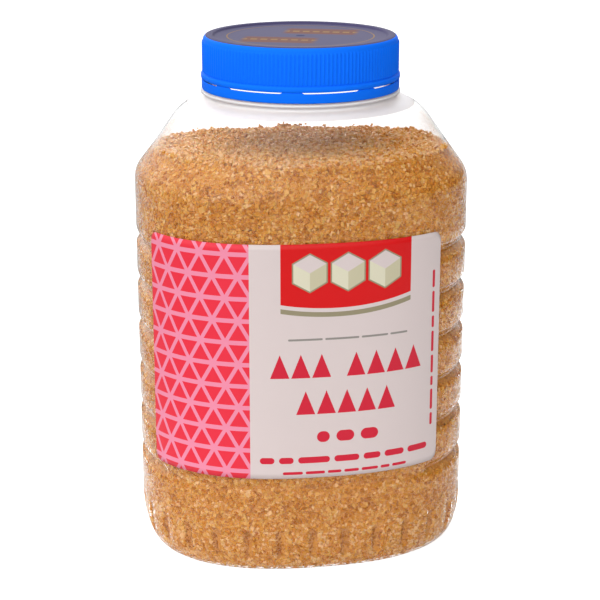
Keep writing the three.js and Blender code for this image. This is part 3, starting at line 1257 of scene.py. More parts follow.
@dataclass
class PetJar:
    """The blown jar: a thin shell with a round neck, open at its top."""

    form: BodyForm
    wall: float = 0.5
    neck_radius: float = 31.3
    neck_bore: float = 30.5
    root_bore: float = 31.6
    neck_root: float = 32.3
    neck_bead: float = 33.5
    bead_low: float = 155.6
    bead_high: float = 156.6
    neck_top: float = 172.0
    milky_low: float = 151.8
    milky_high: float = 157.5
    column_offsets: tuple[float, ...] = (-4.0, -2.2, -1.3, -0.45, 0.45, 1.3, 2.2, 4.0)
    outer_shoulder_rings: int = 8
    inner_shoulder_rings: int = 5
    outer_floor_rings: int = 6
    inner_floor_rings: int = 4

    def places(self) -> np.ndarray:
        """Lists the columns' places, closer together at each flute."""
        return (self.form.flute_places()[:, None] + np.array(self.column_offsets)).ravel()

    def neck_profile(self) -> list[tuple[float, float]]:
        """Lists the neck's radii and heights, up its outside over the lip and down its bore."""
        root = self.form.shoulder_high
        return [
            (self.neck_root + 0.4, root + 0.4),
            (self.neck_root, root + 0.9),
            (self.neck_root, self.bead_low - 0.3),
            (self.neck_bead - 0.3, self.bead_low),
            (self.neck_bead, self.bead_low + 0.3),
            (self.neck_bead, self.bead_high - 0.3),
            (self.neck_bead - 0.3, self.bead_high),
            (self.neck_radius, self.bead_high + 0.2),
            (self.neck_radius, self.bead_high + 1.4),
            (self.neck_radius, self.neck_top - 0.4),
            (self.neck_radius - 0.3, self.neck_top),
            (self.neck_bore + 0.2, self.neck_top),
            (self.neck_bore, self.neck_top - 0.2),
            (self.neck_bore, self.bead_high + 1.4),
            (self.neck_bore, self.bead_high + 0.4),
            (self.root_bore, self.bead_high - 0.5),
            (self.root_bore, root + 0.7),
        ]

    def build(self, finish: BlownPet, neck_finish: MouldedPet) -> Object:
        """Builds the shell and dresses it.

        Args:
            finish: Its clear finish.
            neck_finish: The finish of its neck.

        Returns:
            The jar.
        """
        form, places = self.form, self.places()
        shoulder = form.shoulder_heights(self.outer_shoulder_rings)
        outer = np.concatenate([form.wall_heights(0.0, Fineness.FINE), shoulder])
        shoulder = form.shoulder_heights(self.inner_shoulder_rings)
        inner = np.concatenate([form.wall_heights(self.wall, Fineness.COARSE), shoulder])
        inner = np.minimum(inner, form.shoulder_high - self.wall)[::-1]
        rings = [
            form.floor_rings(places, 0, self.outer_floor_rings),
            form.wall(places[None], outer[:, None], 0),
            turned(self.neck_profile(), 2 * np.pi * form.turn_at(places)),
            form.wall(places[None], inner[:, None], self.wall),
            form.floor_rings(places, self.wall, self.inner_floor_rings)[::-1],
        ]
        middle = np.array([0.0, 0.0, form.push_up_centre])
        points, faces = skin(np.concatenate(rings), middle, middle + self.wall * UP)
        jar = new_object("pet_jar", points, faces, smooth=True)
        dress(jar, finish.material(), ("jar",))
        jar.data.materials.append(neck_finish.material())
        for polygon in jar.data.polygons:
            polygon.material_index = int(self.milky_low * MM < polygon.center.z < self.milky_high * MM)
        return jar


@dataclass(frozen=True)
class CaneHabit:
    """The form in which raw cane crystals grow: skewed blocks with worn corners, no two alike."""

    size: float = 1.07
    size_spread: float = 0.2
    breadth: tuple[float, float] = (0.72, 0.98)
    thickness: tuple[float, float] = (0.65, 0.95)
    corner_wear: tuple[float, float] = (-0.16, 0.1)
    skew: float = 0.22
    steepest_lean: float = 1.2
    nearly_upright: float = 0.9

    def blocks(
        self, rng: np.random.Generator, anchors: np.ndarray, normals: np.ndarray, tilt: float
    ) -> np.ndarray:
        """Shapes one crystal for each anchor.

        Args:
            rng: The source of chance.
            anchors: Points that the crystals' outermost corners reach.
            normals: Directions that they face.
            tilt: How far they lean off that, in radians.

        Returns:
            Corners as (crystal, 8, 3).
        """
        count = len(anchors)
        signs = np.array([(x, y, z) for z in (-1, 1) for y in (-1, 1) for x in (-1, 1)], float)
        length = self.size * rng.lognormal(0, self.size_spread, count)
        breadth = length * rng.uniform(*self.breadth, count)
        thickness = length * rng.uniform(*self.thickness, count)
        halves = 0.5 * np.stack([length, breadth, thickness], -1)
        corners = signs[None] * halves[:, None] * (1 + rng.uniform(*self.corner_wear, (count, 8, 3)))
        corners[..., 0] += self.skew * corners[..., 2]
        frame = self.frames(rng, normals, tilt)
        placed = np.einsum("nij,nkj->nki", frame, corners)
        reach = np.einsum("nki,ni->nk", placed, normals).max(1)
        return placed + (anchors - reach[:, None] * normals)[:, None]

    def frames(self, rng: np.random.Generator, normals: np.ndarray, tilt: float) -> np.ndarray:
        """Turns the crystals at random about the way they face.

        Args:
            rng: The source of chance.
            normals: Directions that they face.
            tilt: How far they lean off that, in radians.

        Returns:
            Rotations as (crystal, 3, 3).
        """
        count = len(normals)
        upright = np.abs(normals[:, 2:3]) > self.nearly_upright
        helper = np.where(upright, np.array([[1.0, 0, 0]]), UP[None])
        first = np.cross(helper, normals)
        first /= np.linalg.norm(first, axis=1, keepdims=True)
        second = np.cross(normals, first)
        spin = rng.uniform(0, 2 * np.pi, count)[:, None]
        right = np.cos(spin) * first + np.sin(spin) * second
        lean = np.tan(np.clip(rng.normal(0, tilt, (count, 2)), -self.steepest_lean, self.steepest_lean))
        outward = normals + lean[:, :1] * right
        outward += lean[:, 1:] * np.cross(normals, right)
        outward /= np.linalg.norm(outward, axis=1, keepdims=True)
        right -= (right * outward).sum(1, keepdims=True) * outward
        right /= np.linalg.norm(right, axis=1, keepdims=True)
        return np.stack([right, np.cross(outward, right), outward], -1)

    @staticmethod
    def resized(crystals: np.ndarray, anchors: np.ndarray, factor: float) -> np.ndarray:
        """Makes crystals larger or smaller about their anchors."""
        return crystals + (factor - 1) * (crystals - anchors[:, None])

    @staticmethod
    def piece(name: str, crystals: np.ndarray) -> Object:
        """Joins crystals into one mesh.

        Args:
            name: The piece's name.
            crystals: Corners as (crystal, 8, 3).

        Returns:
            The piece.
        """
        sides = np.array([(0, 2, 3, 1), (4, 5, 7, 6), (0, 1, 5, 4), (2, 6, 7, 3), (0, 4, 6, 2), (1, 3, 7, 5)])
        faces = (np.arange(len(crystals)) * 8)[:, None, None] + sides[None]
        return new_object(name, crystals.reshape(-1, 3), [faces.reshape(-1, 4)], smooth=False)


@dataclass
class SugarFill:
    """The sugar: a packed core, and real crystals against the wall and over the heap's top."""

    form: BodyForm
    habit: CaneHabit = CaneHabit()
    seed: int = 11
    level: float = 137.3
    fall: float = 0.025
    climb: float = 0.6
    hump_height: float = 0.45
    hump_waves: tuple[float, float] = (0.21, 0.17)
    hump_phases: tuple[float, float] = (0.9, 0.4)
    ripple_height: float = 0.3
    ripple_waves: tuple[float, float, float] = (0.55, 0.31, 0.47)
    ripple_phase: float = 1.3
    core_depth: float = 0.78
    core_columns: int = 180
    core_low: float = 2.5
    core_step: float = 2.2
    core_rim_gap: float = 1.5
    core_top_rings: int = 34
    core_floor_rings: int = 10
    core_below_rim: float = 0.4
    core_below_top: float = 0.45
    core_relief: float = 0.16
    pitch: float = 0.94
    row_share: float = 0.92
    row_lowest: float = 0.3
    row_above_level: float = 4.0
    row_trials: int = 4000
    between_flutes: float = 3.0
    lowest: float = 0.2
    rim_depth: float = 1.0
    wall_jitter: float = 0.36
    wall_tilt: float = 0.5
    crystal_reach: float = 0.2
    wall_reach_spread: tuple[float, float] = (-0.06, 0.24)
    least_depth: float = 0.15
    tucked_behind_label: float = 2.0
    top_layers: tuple[tuple[float, float], ...] = ((1.05, 0.25), (1.8, 0.75))
    top_jitter: float = 0.45
    top_tilt: float = 0.6
    top_lift_spread: tuple[float, float] = (-0.2, 0.25)
    top_inset: float = 1.3
    top_power: float = 2.3
    floor_size: float = 1.55
    floor_jitter: float = 0.4
    floor_tilt: float = 0.4
    floor_reach_spread: tuple[float, float] = (-0.05, 0.3)
    strays: int = 60
    stray_lift: float = 0.45
    stray_highest: float = 1.2
    stray_size: float = 0.7
    stray_depth: float = 0.55
    stray_tilt: float = 0.3
    clump: int = 34
    clump_off_middle: float = -3.0
    clump_spread: float = 3.4
    clump_lift: float = 1.0
    # Painted shade and reflection by the flutes: how deep in a flute a crystal lies to get darker tones, by how
    # many tones, and the share at the foot between the flutes that gets one tone lighter.
    flute_press: float = 0.45
    flute_deeper: int = 4
    foot_paler: float = 0.7
    mottle: float = 0.32
    mottle_waves: int = 14
    mottle_lengths: tuple[float, float] = (3.0, 8.0)

    def surface(self, x: np.ndarray, y: np.ndarray) -> np.ndarray:
        """Finds the height of the heap's top.

        Args:
            x: Places along X.
            y: Places along Y.

        Returns:
            Heights, with shallow humps as the grains settled, and small ripples across them.
        """
        plain = self.level - self.fall * y + self.climb * (x / self.form.half_width) ** 2
        (wide, deep), (right, back) = self.hump_waves, self.hump_phases
        humps = self.hump_height * np.sin(wide * x + right) * np.cos(deep * y - back)
        slant_x, slant_y, across = self.ripple_waves
        ripples = np.sin(slant_x * x - slant_y * y) * np.sin(across * y + self.ripple_phase)
        return plain + humps + self.ripple_height * ripples

    def rim_heights(self, place: np.ndarray, depth: float) -> np.ndarray:
        """Height of the heap's top where it meets the wall."""
        near = self.form.wall(place, np.full_like(place, self.level), depth)
        return self.surface(near[..., 0], near[..., 1])

    def core(self, finish: PackedSugar) -> Object:
        """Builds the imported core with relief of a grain's size.

        Args:
            finish: Its finish.

        Returns:
            The core.
        """
        form, rng, depth = self.form, np.random.default_rng(self.seed), self.core_depth
        places = np.arange(self.core_columns) / self.core_columns * form.perimeter
        highest = self.level - self.core_rim_gap
        steps = np.arange(self.core_low, highest, self.core_step)
        heights = np.unique(np.concatenate([form.wall_heights(depth, Fineness.COARSE), steps]))
        heights = heights[heights < highest]
        rim = form.wall(places, self.rim_heights(places, depth) - self.core_below_rim, depth)
        tops = []
        for share in np.linspace(1, 0, self.core_top_rings + 2)[1:-1]:
            flat = rim[:, :2] * share
            tops.append(np.c_[flat, self.surface(flat[:, 0], flat[:, 1]) - self.core_below_top])
        rings = [
            form.floor_rings(places, depth, self.core_floor_rings),
            form.wall(places[None], heights[:, None], depth),
            rim[None],
            np.stack(tops),
        ]
        stack = np.concatenate(rings)
        relief = rng.normal(0, 1, stack.shape) * self.core_relief
        crown = float(self.surface(np.array(0.0), np.array(0.0))) - self.core_below_rim
        points, faces = skin(stack + relief, (form.push_up_centre + depth) * UP, crown * UP)
        core = new_object("sugar_core", points, faces, smooth=True)
        dress(core, finish.material(), ("sugar",))
        return core

    def row_heights(self) -> np.ndarray:
        """Heights of the rows of crystals, evenly spaced along the wall from its foot to above the heap."""
        trial = np.linspace(self.row_lowest, self.level + self.row_above_level, self.row_trials)
        profile = self.form.wall(np.full_like(trial, self.between_flutes), trial, 0)
        arc = np.concatenate([[0], np.cumsum(np.linalg.norm(np.diff(profile, axis=0), axis=1))])
        return np.interp(np.arange(0, arc[-1], self.row_share * self.pitch), arc, trial)

    def wall_crystals(self, rng: np.random.Generator) -> tuple[np.ndarray, np.ndarray]:
        """Packs crystals against the wall, from the foot of the heel up to the heap's top.

        Args:
            rng: The source of chance.

        Returns:
            Corners as (crystal, 8, 3), and which crystals lie deep in a flute, where painted shade goes.
        """
        form, pitch, jitter = self.form, self.pitch, self.wall_jitter
        rows = self.row_heights()
        columns = int(form.perimeter / pitch)
        place, z = np.meshgrid(np.arange(columns) / columns * form.perimeter, rows)
        place = place + (np.arange(len(rows)) % 2)[:, None] * 0.5 * pitch
        place = (place + rng.uniform(-jitter, jitter, place.shape) * pitch).ravel()
        z = np.maximum(self.lowest, z + rng.uniform(-jitter, jitter, z.shape) * pitch).ravel()
        half = form.perimeter / 2
        place = (place + half) % form.perimeter - half
        margin = self.tucked_behind_label
        hidden = (place > form.label_left + margin) & (place < form.label_right - margin)
        hidden &= (z > form.label_low + margin) & (z < form.label_high - margin)
        keep = ~hidden & (z < self.rim_heights(place, self.rim_depth))
        place, z = place[keep], z[keep]
        normals = form.wall_normal(place, z)
        depth = self.crystal_reach + rng.uniform(*self.wall_reach_spread, len(place))
        anchors = form.wall(place, z, 0) - depth[:, None] * normals
        corners = self.habit.blocks(rng, anchors, normals, self.wall_tilt)
        along = np.cross(UP, normals)
        along /= np.linalg.norm(along, axis=1)[:, None]
        aside = np.einsum("nki,ni->nk", corners - anchors[:, None], along)
        in_flute = form.flute_at(place, z) > self.flute_press * form.flute_depth
        return form.held_inside(corners, place[:, None] + aside, self.least_depth), in_flute

    def scattered(self, rng: np.random.Generator, pitch: float, jitter: float) -> tuple[np.ndarray, np.ndarray]:
        """Scatters points over the jar's plan, one near each crossing of a square grid.

        Args:
            rng: The source of chance.
            pitch: The grid's pitch.
            jitter: How far a point strays, as a share of the pitch.

        Returns:
            Places along X and along Y.
        """
        wide, deep = self.form.half_width, self.form.half_depth
        x, y = np.meshgrid(np.arange(-wide, wide, pitch), np.arange(-deep, deep, pitch))
        x = (x + rng.uniform(-jitter, jitter, x.shape) * pitch).ravel()
        y = (y + rng.uniform(-jitter, jitter, y.shape) * pitch).ravel()
        return x, y

    def top_crystals(self, rng: np.random.Generator) -> np.ndarray:
        """Strews crystals over the heap's top, in a full layer and a thinner one on it.

        Args:
            rng: The source of chance.

        Returns:
            Corners as (crystal, 8, 3).
        """
        form, power = self.form, self.top_power
        inset = float(form.shoulder_at(np.array(self.level))[0]) + self.top_inset
        wide, deep = form.half_width - inset, form.half_depth - inset
        layers = []
        for spacing, lift in self.top_layers:
            x, y = self.scattered(rng, spacing * self.pitch, self.top_jitter)
            inside = np.abs(x / wide) ** power + np.abs(y / deep) ** power < 1
            x, y = x[inside], y[inside]
            z = self.surface(x, y) + lift + rng.uniform(*self.top_lift_spread, len(x))
            layers.append(np.stack([x, y, z], -1))
        anchors = np.concatenate(layers)
        return self.habit.blocks(rng, anchors, np.tile(UP, (len(anchors), 1)), self.top_tilt)

    def floor_crystals(self, rng: np.random.Generator) -> np.ndarray:
        """Packs crystals against the jar's floor, larger ones, as it is seen only from below.

        Args:
            rng: The source of chance.

        Returns:
            Corners as (crystal, 8, 3).
        """
        form, power = self.form, self.form.plan_power
        x, y = self.scattered(rng, self.floor_size * self.pitch, self.floor_jitter)
        wide, deep = form.half_width - form.heel_inset, form.half_depth - form.heel_inset
        size = (np.abs(x / wide) ** power + np.abs(y / deep) ** power) ** (1 / power)
        keep = size < 1
        x, y, size = x[keep], y[keep], size[keep]
        outer = 1 - form.standing_ring / deep
        inner = 1 - (form.standing_ring + form.push_up_run) / deep
        rise = form.push_up_foot * (1 - smoothstep(size, inner, outer))
        rise += (form.push_up_centre - form.push_up_foot) * np.clip(1 - (size / inner) ** 2, 0, 1)
        z = rise + self.crystal_reach + rng.uniform(*self.floor_reach_spread, len(x))
        anchors = np.stack([x, y, z], -1)
        crystals = self.habit.blocks(rng, anchors, np.tile(-UP, (len(x), 1)), self.floor_tilt)
        return self.habit.resized(crystals, anchors, self.floor_size)

    def stray_crystals(self, rng: np.random.Generator) -> np.ndarray:
        """Leaves stray crystals on the wall above the heap, with a small clump at the back.

        Args:
            rng: The source of chance.

        Returns:
            Corners as (crystal, 8, 3).
        """
        form = self.form
        half = form.perimeter / 2
        around = rng.uniform(-half, half, self.strays)
        lift = np.minimum(rng.exponential(self.stray_lift, self.strays), self.stray_highest)
        clump = half + self.clump_off_middle + rng.normal(0, self.clump_spread, self.clump)
        clump_lift = np.abs(rng.normal(0, self.clump_lift, self.clump))
        place = np.concatenate([around, clump])
        z = self.rim_heights(place, self.rim_depth) + np.concatenate([lift, clump_lift])
        normals = form.wall_normal(place, z)
        anchors = form.wall(place, z, self.stray_depth)
        crystals = self.habit.blocks(rng, anchors, normals, self.stray_tilt)
        return self.habit.resized(crystals, anchors, self.stray_size)

    def sort_tones(self, rng: np.random.Generator, crystals: np.ndarray, shares: list[float]) -> np.ndarray:
        """Gives each crystal a tone, a little alike among neighbours, as sugar is drier in some spots.

        Args:
            rng: The source of chance.
            crystals: Corners as (crystal, 8, 3).
            shares: The tones' shares, the palest first.

        Returns:
            The number of each crystal's tone.
        """
        count = self.mottle_waves
        waves = rng.normal(0, 1, (count, 3))
        lengths = rng.uniform(*self.mottle_lengths, count)
        waves *= (2 * np.pi / lengths / np.linalg.norm(waves, axis=1))[:, None]
        phases = rng.uniform(0, 2 * np.pi, count)
        mottle = np.sin(crystals[:, 0] @ waves.T + phases).sum(1) / np.sqrt(count / 2)
        score = rng.normal(0, 1, len(crystals)) + self.mottle * mottle
        limits = np.quantile(score, np.cumsum(shares)[:-1])
        return np.searchsorted(limits, score)

    def build(self, core_finish: PackedSugar) -> list[Object]:
        """Builds the core and the crystals, one piece for each tone.

        Crystals deep in a flute get darker tones: painted shade, standing for the shade in the flutes. Most at
        the foot between the flutes get a lighter tone: a painted reflection of the bright table in the wall.

        Args:
            core_finish: The core's finish.

        Returns:
            The core and the crystals' pieces.
        """
        rng = np.random.default_rng(self.seed)
        at_wall, in_flute = self.wall_crystals(rng)
        pressed = np.concatenate([at_wall, self.floor_crystals(rng)])
        loose = np.concatenate([self.top_crystals(rng), self.stray_crystals(rng)])
        pressed_kinds = self.sort_tones(rng, pressed, [tone.pressed_share for tone in CrystalTone])
        # The shares on top lean pale: partly drier grains, partly painted light on the heap's top.
        loose_kinds = self.sort_tones(rng, loose, [tone.loose_share for tone in CrystalTone])
        kinds = np.concatenate([pressed_kinds, loose_kinds])
        # Painted reflection: lighter tones at the foot between the flutes. Painted shade: darker tones deep in
        # the flutes.
        at_foot = ~in_flute & (at_wall[:, 0, 2] < self.form.flute_high + 1)
        painted_veil = np.flatnonzero(at_foot & (rng.random(len(at_wall)) < self.foot_paler))
        kinds[painted_veil] = np.maximum(kinds[painted_veil] - 1, 0)
        painted_shade = np.flatnonzero(in_flute)
        kinds[painted_shade] = np.minimum(kinds[painted_shade] + self.flute_deeper, len(CrystalTone) - 1)
        crystals = np.concatenate([pressed, loose])
        pieces = [self.core(core_finish)]
        for kind, tone in enumerate(CrystalTone):
            piece = self.habit.piece(f"crystals_{tone.name.lower()}", crystals[kinds == kind])
            dress(piece, CaneCrystal(tone).material(), ("sugar",))
            pieces.append(piece)
        return pieces


# ------------------------------------------------------------------------------------- lid and label


@dataclass
class ScrewLid:
    """The screw lid: fine ribs for grip, a plain foot bead, and a raised rim round a sunken top."""

    top: float = 174.7
    low: float = 160.5
    rib_outer: float = 32.9
    rib_root: float = 32.5
    ribs: int = 150
    rib_low: float = 162.7
    rib_high: float = 172.7
    rib_fullness: float = 1.1
    edge: float = 1.6
    edge_rings: int = 7
    bead: float = 33.3
    bead_high: float = 162.3
    bore: float = 31.8
    rim_width: float = 2.7
    recess: float = 0.7
    ceiling: float = 172.6
    liner_reach: float = 0.05
    columns_per_rib: int = 4

    def profile(self) -> list[tuple[float, float, float]]:
        """Lists radii, heights and the ribs' share, from the ceiling down, round the skirt and over the top."""
        rim_inner = self.rib_outer - self.edge - self.rim_width
        floor = self.top - self.recess
        inside = [
            (0.6 * self.bore, self.ceiling, 0),
            (self.bore - 0.4, self.ceiling, 0),
            (self.bore, self.ceiling - 0.4, 0),
            (self.bore, self.low + 1.2, 0),
        ]
        bead = [
            (self.bead - 0.75, self.low + 0.05, 0),
            (self.bead - 0.6, self.low, 0),
            (self.bead - 0.3, self.low, 0),
            (self.bead, self.low + 0.3, 0),
            (self.bead, self.bead_high - 0.5, 0),
            (self.bead - 0.12, self.bead_high - 0.2, 0),
        ]
        ribs = [
            (self.rib_root, self.bead_high, 0),
            (self.rib_root, self.rib_low - 0.2, 0),
            (self.rib_root, self.rib_low, 0.55),
            (self.rib_root, self.rib_low + 0.35, 1),
            (self.rib_root, self.rib_high - 0.4, 1),
            (self.rib_root, self.rib_high - 0.1, 0.7),
            (self.rib_root, self.rib_high + 0.1, 0),
        ]
        edge = [
            (self.rib_root - self.edge * (1 - np.cos(lean)), self.top - self.edge * (1 - np.sin(lean)), 0)
            for lean in np.linspace(0.12, np.pi / 2, self.edge_rings)
        ]
        rim = [
            (rim_inner + 1.2, self.top, 0),
            (rim_inner + 0.8, self.top - 0.08, 0),
            (rim_inner + 0.5, self.top - 0.3, 0),
            (rim_inner + 0.25, self.top - 0.6, 0),
            (rim_inner, floor, 0),
            (0.75 * rim_inner, floor, 0),
            (0.4 * rim_inner, floor, 0),
        ]
        return inside + bead + ribs + edge + rim

    def build(self, finish: MouldedPolypropylene, liner: FoamLiner) -> Object:
        """Builds the lid and dresses it.

        Args:
            finish: Its finish.
            liner: The finish of the disc inside it.

        Returns:
            The lid.
        """
        columns = self.ribs * self.columns_per_rib
        angle = np.arange(columns) / columns * 2 * np.pi
        phase = np.pi / self.columns_per_rib
        wave = np.clip(0.5 + self.rib_fullness * np.cos(angle * self.ribs + phase), 0, 1)
        stand = self.rib_outer - self.rib_root
        rings = turned([(radius + rib * wave * stand, height) for radius, height, rib in self.profile()], angle)
        points, faces = skin(rings, self.ceiling * UP, (self.top - self.recess) * UP)
        lid = new_object("screw_lid", points, faces, smooth=True)
        dress(lid, finish.material(), ("lid",))
        lid.data.materials.append(liner.material())
        for polygon in lid.data.polygons:
            off_ceiling = abs(polygon.center.z - self.ceiling * MM)
            polygon.material_index = int(off_ceiling < self.liner_reach * MM)
        return lid


@dataclass
class TamperBand:
    """The tamper band: a plain ring under the lid, still held to it by short bridges."""

    low: float = 157.0
    high: float = 160.1
    radius: float = 33.1
    bore: float = 31.8
    bridges: int = 8
    bridge_width: float = 12.5
    bridge_top: float = 160.45
    first_bridge: float = 210.9
    columns: int = 288

    def build(self, finish: Material) -> Object:
        """Builds the band and dresses it.

        Args:
            finish: The lid's material, as both are one moulding.

        Returns:
            The band.
        """
        angle = np.arange(self.columns) / self.columns * 2 * np.pi
        pitch = 360 / self.bridges
        aside = (np.degrees(angle) - self.first_bridge + pitch / 2) % pitch - pitch / 2
        bridge = (np.abs(aside) < self.bridge_width / 2) * (self.bridge_top - self.high)
        profile = [
            (self.bore, self.high - 1.4),
            (self.bore, self.low),
            (self.radius - 0.3, self.low),
            (self.radius - 0.08, self.low + 0.1),
            (self.radius, self.low + 0.35),
            (self.radius, self.high - 0.4),
            (self.radius, self.high - 0.15 + bridge),
            (self.radius - 0.15, self.high + bridge),
            (self.radius - 0.4, self.high + bridge),
            (self.radius - 0.55, self.high - 0.1 + bridge),
        ]
        points, faces = skin(turned(profile, angle))
        band = new_object("tamper_band_ring", points, faces, smooth=True)
        dress(band, finish, ("tamper_band",))
        return band


@dataclass
class WrapLabel:
    """The label: one piece of film wrapped round the labelled face, with rounded corners."""

    form: BodyForm
    proud: float = 0.3
    thickness: float = 0.15
    corner: float = 3.2
    spans: int = 150
    rises: int = 40
    corner_steps: int = 8

    def places(self) -> np.ndarray:
        """Lists the columns' places, closer together at the rounded corners."""
        bend = (1 - np.cos(np.linspace(0, np.pi / 2, self.corner_steps + 1))) * self.corner
        left, right = self.form.label_left, self.form.label_right
        middle = np.linspace(left + self.corner, right - self.corner, self.spans + 1)
        return np.concatenate([left + bend[:-1], middle, (right - bend[:-1])[::-1]])

    def face(self, offset: float) -> np.ndarray:
        """Finds one face of the film.

        Args:
            offset: How far it stands off the wall.

        Returns:
            Points as (column, row, 3).
        """
        form, places = self.form, self.places()
        end = np.minimum(np.minimum(places - form.label_left, form.label_right - places), self.corner)
        cut = self.corner - np.sqrt(np.maximum(0, self.corner**2 - (self.corner - end) ** 2))
        shares = np.linspace(0, 1, self.rises + 1)
        low, high = form.label_low + cut, form.label_high - cut
        z = low[:, None] + (high - low)[:, None] * shares
        flat = form.section(
            form.turn_at(places), form.half_width + offset, form.half_depth + offset, form.plan_power
        )
        return np.concatenate([np.repeat(flat[:, None], len(shares), 1), z[..., None]], -1)

    def unwrap(self, label: Object, heights: np.ndarray) -> None:
        """Lays the print's coordinates on the film, 0 to 1 across and up.

        Args:
            label: The film.
            heights: Its corners' heights as (column, row), the same for both faces.
        """
        form = self.form
        across = (self.places() - form.label_left) / (form.label_right - form.label_left)
        upward = (heights - form.label_low) / (form.label_high - form.label_low)
        flat = np.stack(np.broadcast_arrays(across[:, None], upward), -1).reshape(-1, 2)
        corners = np.empty(len(label.data.loops), np.int32)
        label.data.loops.foreach_get("vertex_index", corners)
        layer = label.data.uv_layers.new(name="print")
        layer.data.foreach_set("uv", np.tile(flat, (2, 1))[corners].astype(np.float32).ravel())

    def build(self) -> Object:
        """Builds the film and dresses it.

        Returns:
            The label.
        """
        form = self.form
        outer, inner = self.face(self.proud + self.thickness), self.face(self.proud)
        count = outer.shape[0] * outer.shape[1]
        number = np.arange(count).reshape(outer.shape[:2])
        quads = np.stack([number[:-1, :-1], number[1:, :-1], number[1:, 1:], number[:-1, 1:]], -1)
        front = quads.reshape(-1, 4)
        rim = np.concatenate([number[:, 0], number[-1, 1:], number[-2::-1, -1], number[0, -2:0:-1]])
        ahead = np.roll(rim, -1)
        edge = np.stack([rim, rim + count, ahead + count, ahead], -1)
        faces = np.concatenate([front, front[:, ::-1] + count, edge])
        points = np.concatenate([outer.reshape(-1, 3), inner.reshape(-1, 3)])
        label = new_object("wrap_label", points, [faces], smooth=True)
        self.unwrap(label, outer[..., 2])
        film = PrintedFilm(form.label_right - form.label_left, form.label_high - form.label_low)
        dress(label, film.material(), ("label",))
        return label


# --------------------------------------------------------------------------------------------- studio


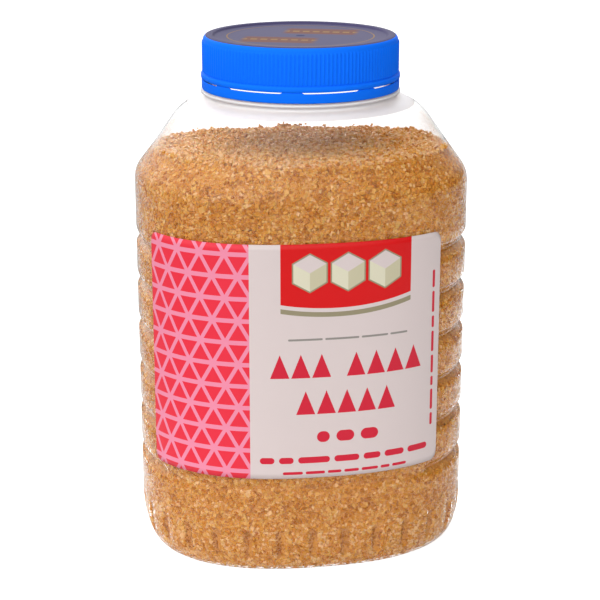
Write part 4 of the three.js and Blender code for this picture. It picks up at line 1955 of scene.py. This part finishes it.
@dataclass
class Studio:
    """A glowing white table, soft light from all round but strongest at the left, a softbox and the camera."""

    camera_at: tuple[float, float, float] = (-95.8, -566.2, 256.1)
    looks_at: tuple[float, float, float] = (-0.16, 0.03, 82.05)
    lens: float = 103.37
    sensor: float = 36.0
    nearest: float = 10.0
    farthest: float = 50000.0
    floor_half: float = 4000.0
    floor_drop: float = 0.02
    floor_glow: float = 0.85
    floor_roughness: float = 0.9
    floor_specular_level: float = 0.1
    near_white: float = 0.72
    far_grey: float = 0.36
    sheet_middle: tuple[float, float, float] = (170.0, -60.0, 0.0)
    sheet_reach: tuple[float, float] = (230.0, 430.0)
    horizon: float = 0.36
    zenith: float = 0.78
    brightening: tuple[float, float] = (0.05, 0.5)
    lean: float = 0.95
    lobes: tuple[tuple[float, tuple[float, float, float], float], ...] = (
        (1.2, (-0.2, -0.74, 0.64), 3.0),
        (2.6, (0.14, 0.88, 0.46), 9.0),
    )
    key_at: tuple[float, float, float] = (-1100.0, -1400.0, 500.0)
    key_size: tuple[float, float] = (1500.0, 1300.0)
    key_watts: float = 3.0

    def build(self) -> None:
        """Sets up the camera, the table and the lights."""
        self.camera()
        self.table()
        self.surround()
        self.softbox()
        bpy.context.scene.view_settings.view_transform = "Standard"

    def aim(self, thing: Object, at: tuple[float, float, float]) -> None:
        """Places an object and turns it to look at a point of the jar.

        Args:
            thing: The camera or a light.
            at: Where it stands.
        """
        thing.location = Vector(at) * MM
        away = (Vector(self.looks_at) - Vector(at)).to_track_quat("-Z", "Y")
        thing.rotation_euler = away.to_euler()
        bpy.context.scene.collection.objects.link(thing)

    def camera(self) -> None:
        """Makes the camera at the photograph's viewing angle."""
        data = bpy.data.cameras.new("camera")
        data.lens, data.sensor_width = self.lens, self.sensor
        data.clip_start, data.clip_end = self.nearest * MM, self.farthest * MM
        camera = bpy.data.objects.new("camera", data)
        self.aim(camera, self.camera_at)
        bpy.context.scene.camera = camera

    def table(self) -> None:
        """Makes the table: white by the jar and greyer further off, and glowing white to the eye alone."""
        half = self.floor_half
        corners = np.array([(-half, -half, 0.0), (half, -half, 0.0), (half, half, 0.0), (-half, half, 0.0)])
        sheet = [np.array([[0, 1, 2, 3]])]
        floor = new_object("table", corners - self.floor_drop * UP, sheet, smooth=False)
        material, tree = new_material("white_acrylic_table")
        rays = add_node(tree, "LightPath").outputs
        eye = {0: rays["Is Camera Ray"], 1: rays["Is Transmission Ray"]}
        seen = add_node(tree, "Math", eye, operation="MAXIMUM")
        glow = add_node(tree, "Math", {0: seen, 1: self.floor_glow}, operation="MULTIPLY")
        place = add_node(tree, "TexCoord").outputs["Object"]
        middle = tuple(value * MM for value in self.sheet_middle)
        away = add_node(tree, "VectorMath", {0: place, 1: middle}, operation="DISTANCE")
        near, far = (reach * MM for reach in self.sheet_reach)
        fade = {"Value": away, 1: near, 2: far, 3: self.near_white, 4: self.far_grey}
        shader = add_node(
            tree,
            "BsdfPrincipled",
            {
                "Base Color": add_node(tree, "MapRange", fade, interpolation_type="SMOOTHSTEP"),
                "Roughness": self.floor_roughness,
                "Specular IOR Level": self.floor_specular_level,
                "Emission Color": linear("FFFFFF"),
                "Emission Strength": glow,
            },
        )
        add_node(tree, "OutputMaterial", {"Surface": shader})
        floor.data.materials.append(material)

    def surround(self) -> None:
        """Makes the soft surround: dimmer at the horizon than overhead, and brighter to the left.

        Each lobe adds a wide soft glow from one side: its strength, its direction and how narrow it is.
        """
        world = bpy.data.worlds.new("surround")
        world.use_nodes = True
        tree = world.node_tree
        tree.nodes.clear()
        direction = add_node(tree, "TexCoord").outputs["Generated"]
        parted = add_node(tree, "SeparateXYZ", {0: direction}).outputs
        low, high = self.brightening
        rise = {"Value": parted["Z"], 1: low, 2: high, 3: self.horizon, 4: self.zenith}
        strength = add_node(tree, "MapRange", rise, interpolation_type="SMOOTHSTEP")
        lean = add_node(tree, "Math", {0: parted["X"], 1: -self.lean, 2: 1.0}, operation="MULTIPLY_ADD")
        level = add_node(tree, "Math", {0: strength, 1: lean}, operation="MULTIPLY")
        for glow, side, focus in self.lobes:
            towards = add_node(tree, "VectorMath", {0: direction, 1: side}, operation="DOT_PRODUCT")
            facing = add_node(tree, "Math", {0: towards, 1: 0.0}, operation="MAXIMUM")
            lobe = add_node(tree, "Math", {0: facing, 1: focus}, operation="POWER")
            level = add_node(tree, "Math", {0: lobe, 1: glow, 2: level}, operation="MULTIPLY_ADD")
        light = add_node(tree, "Background", {"Color": linear("FFFFFF"), "Strength": level})
        add_node(tree, "OutputWorld", {"Surface": light})
        bpy.context.scene.world = world

    def softbox(self) -> None:
        """Makes the softbox at the camera's left."""
        data = bpy.data.lights.new("softbox", "AREA")
        data.shape = "RECTANGLE"
        data.size, data.size_y = self.key_size[0] * MM, self.key_size[1] * MM
        data.energy = self.key_watts
        self.aim(bpy.data.objects.new("softbox", data), self.key_at)


def main() -> None:
    """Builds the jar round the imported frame, piece by piece."""
    logging.basicConfig(level=logging.INFO, format="%(name)s: %(message)s")
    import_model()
    Studio().build()
    form = BodyForm()
    PetJar(form).build(BlownPet(), MouldedPet())
    SugarFill(form).build(PackedSugar())
    WrapLabel(form).build()
    lid = ScrewLid().build(MouldedPolypropylene(), FoamLiner())
    TamperBand().build(lid.data.materials[0])


if __name__ == "__main__":
    main()
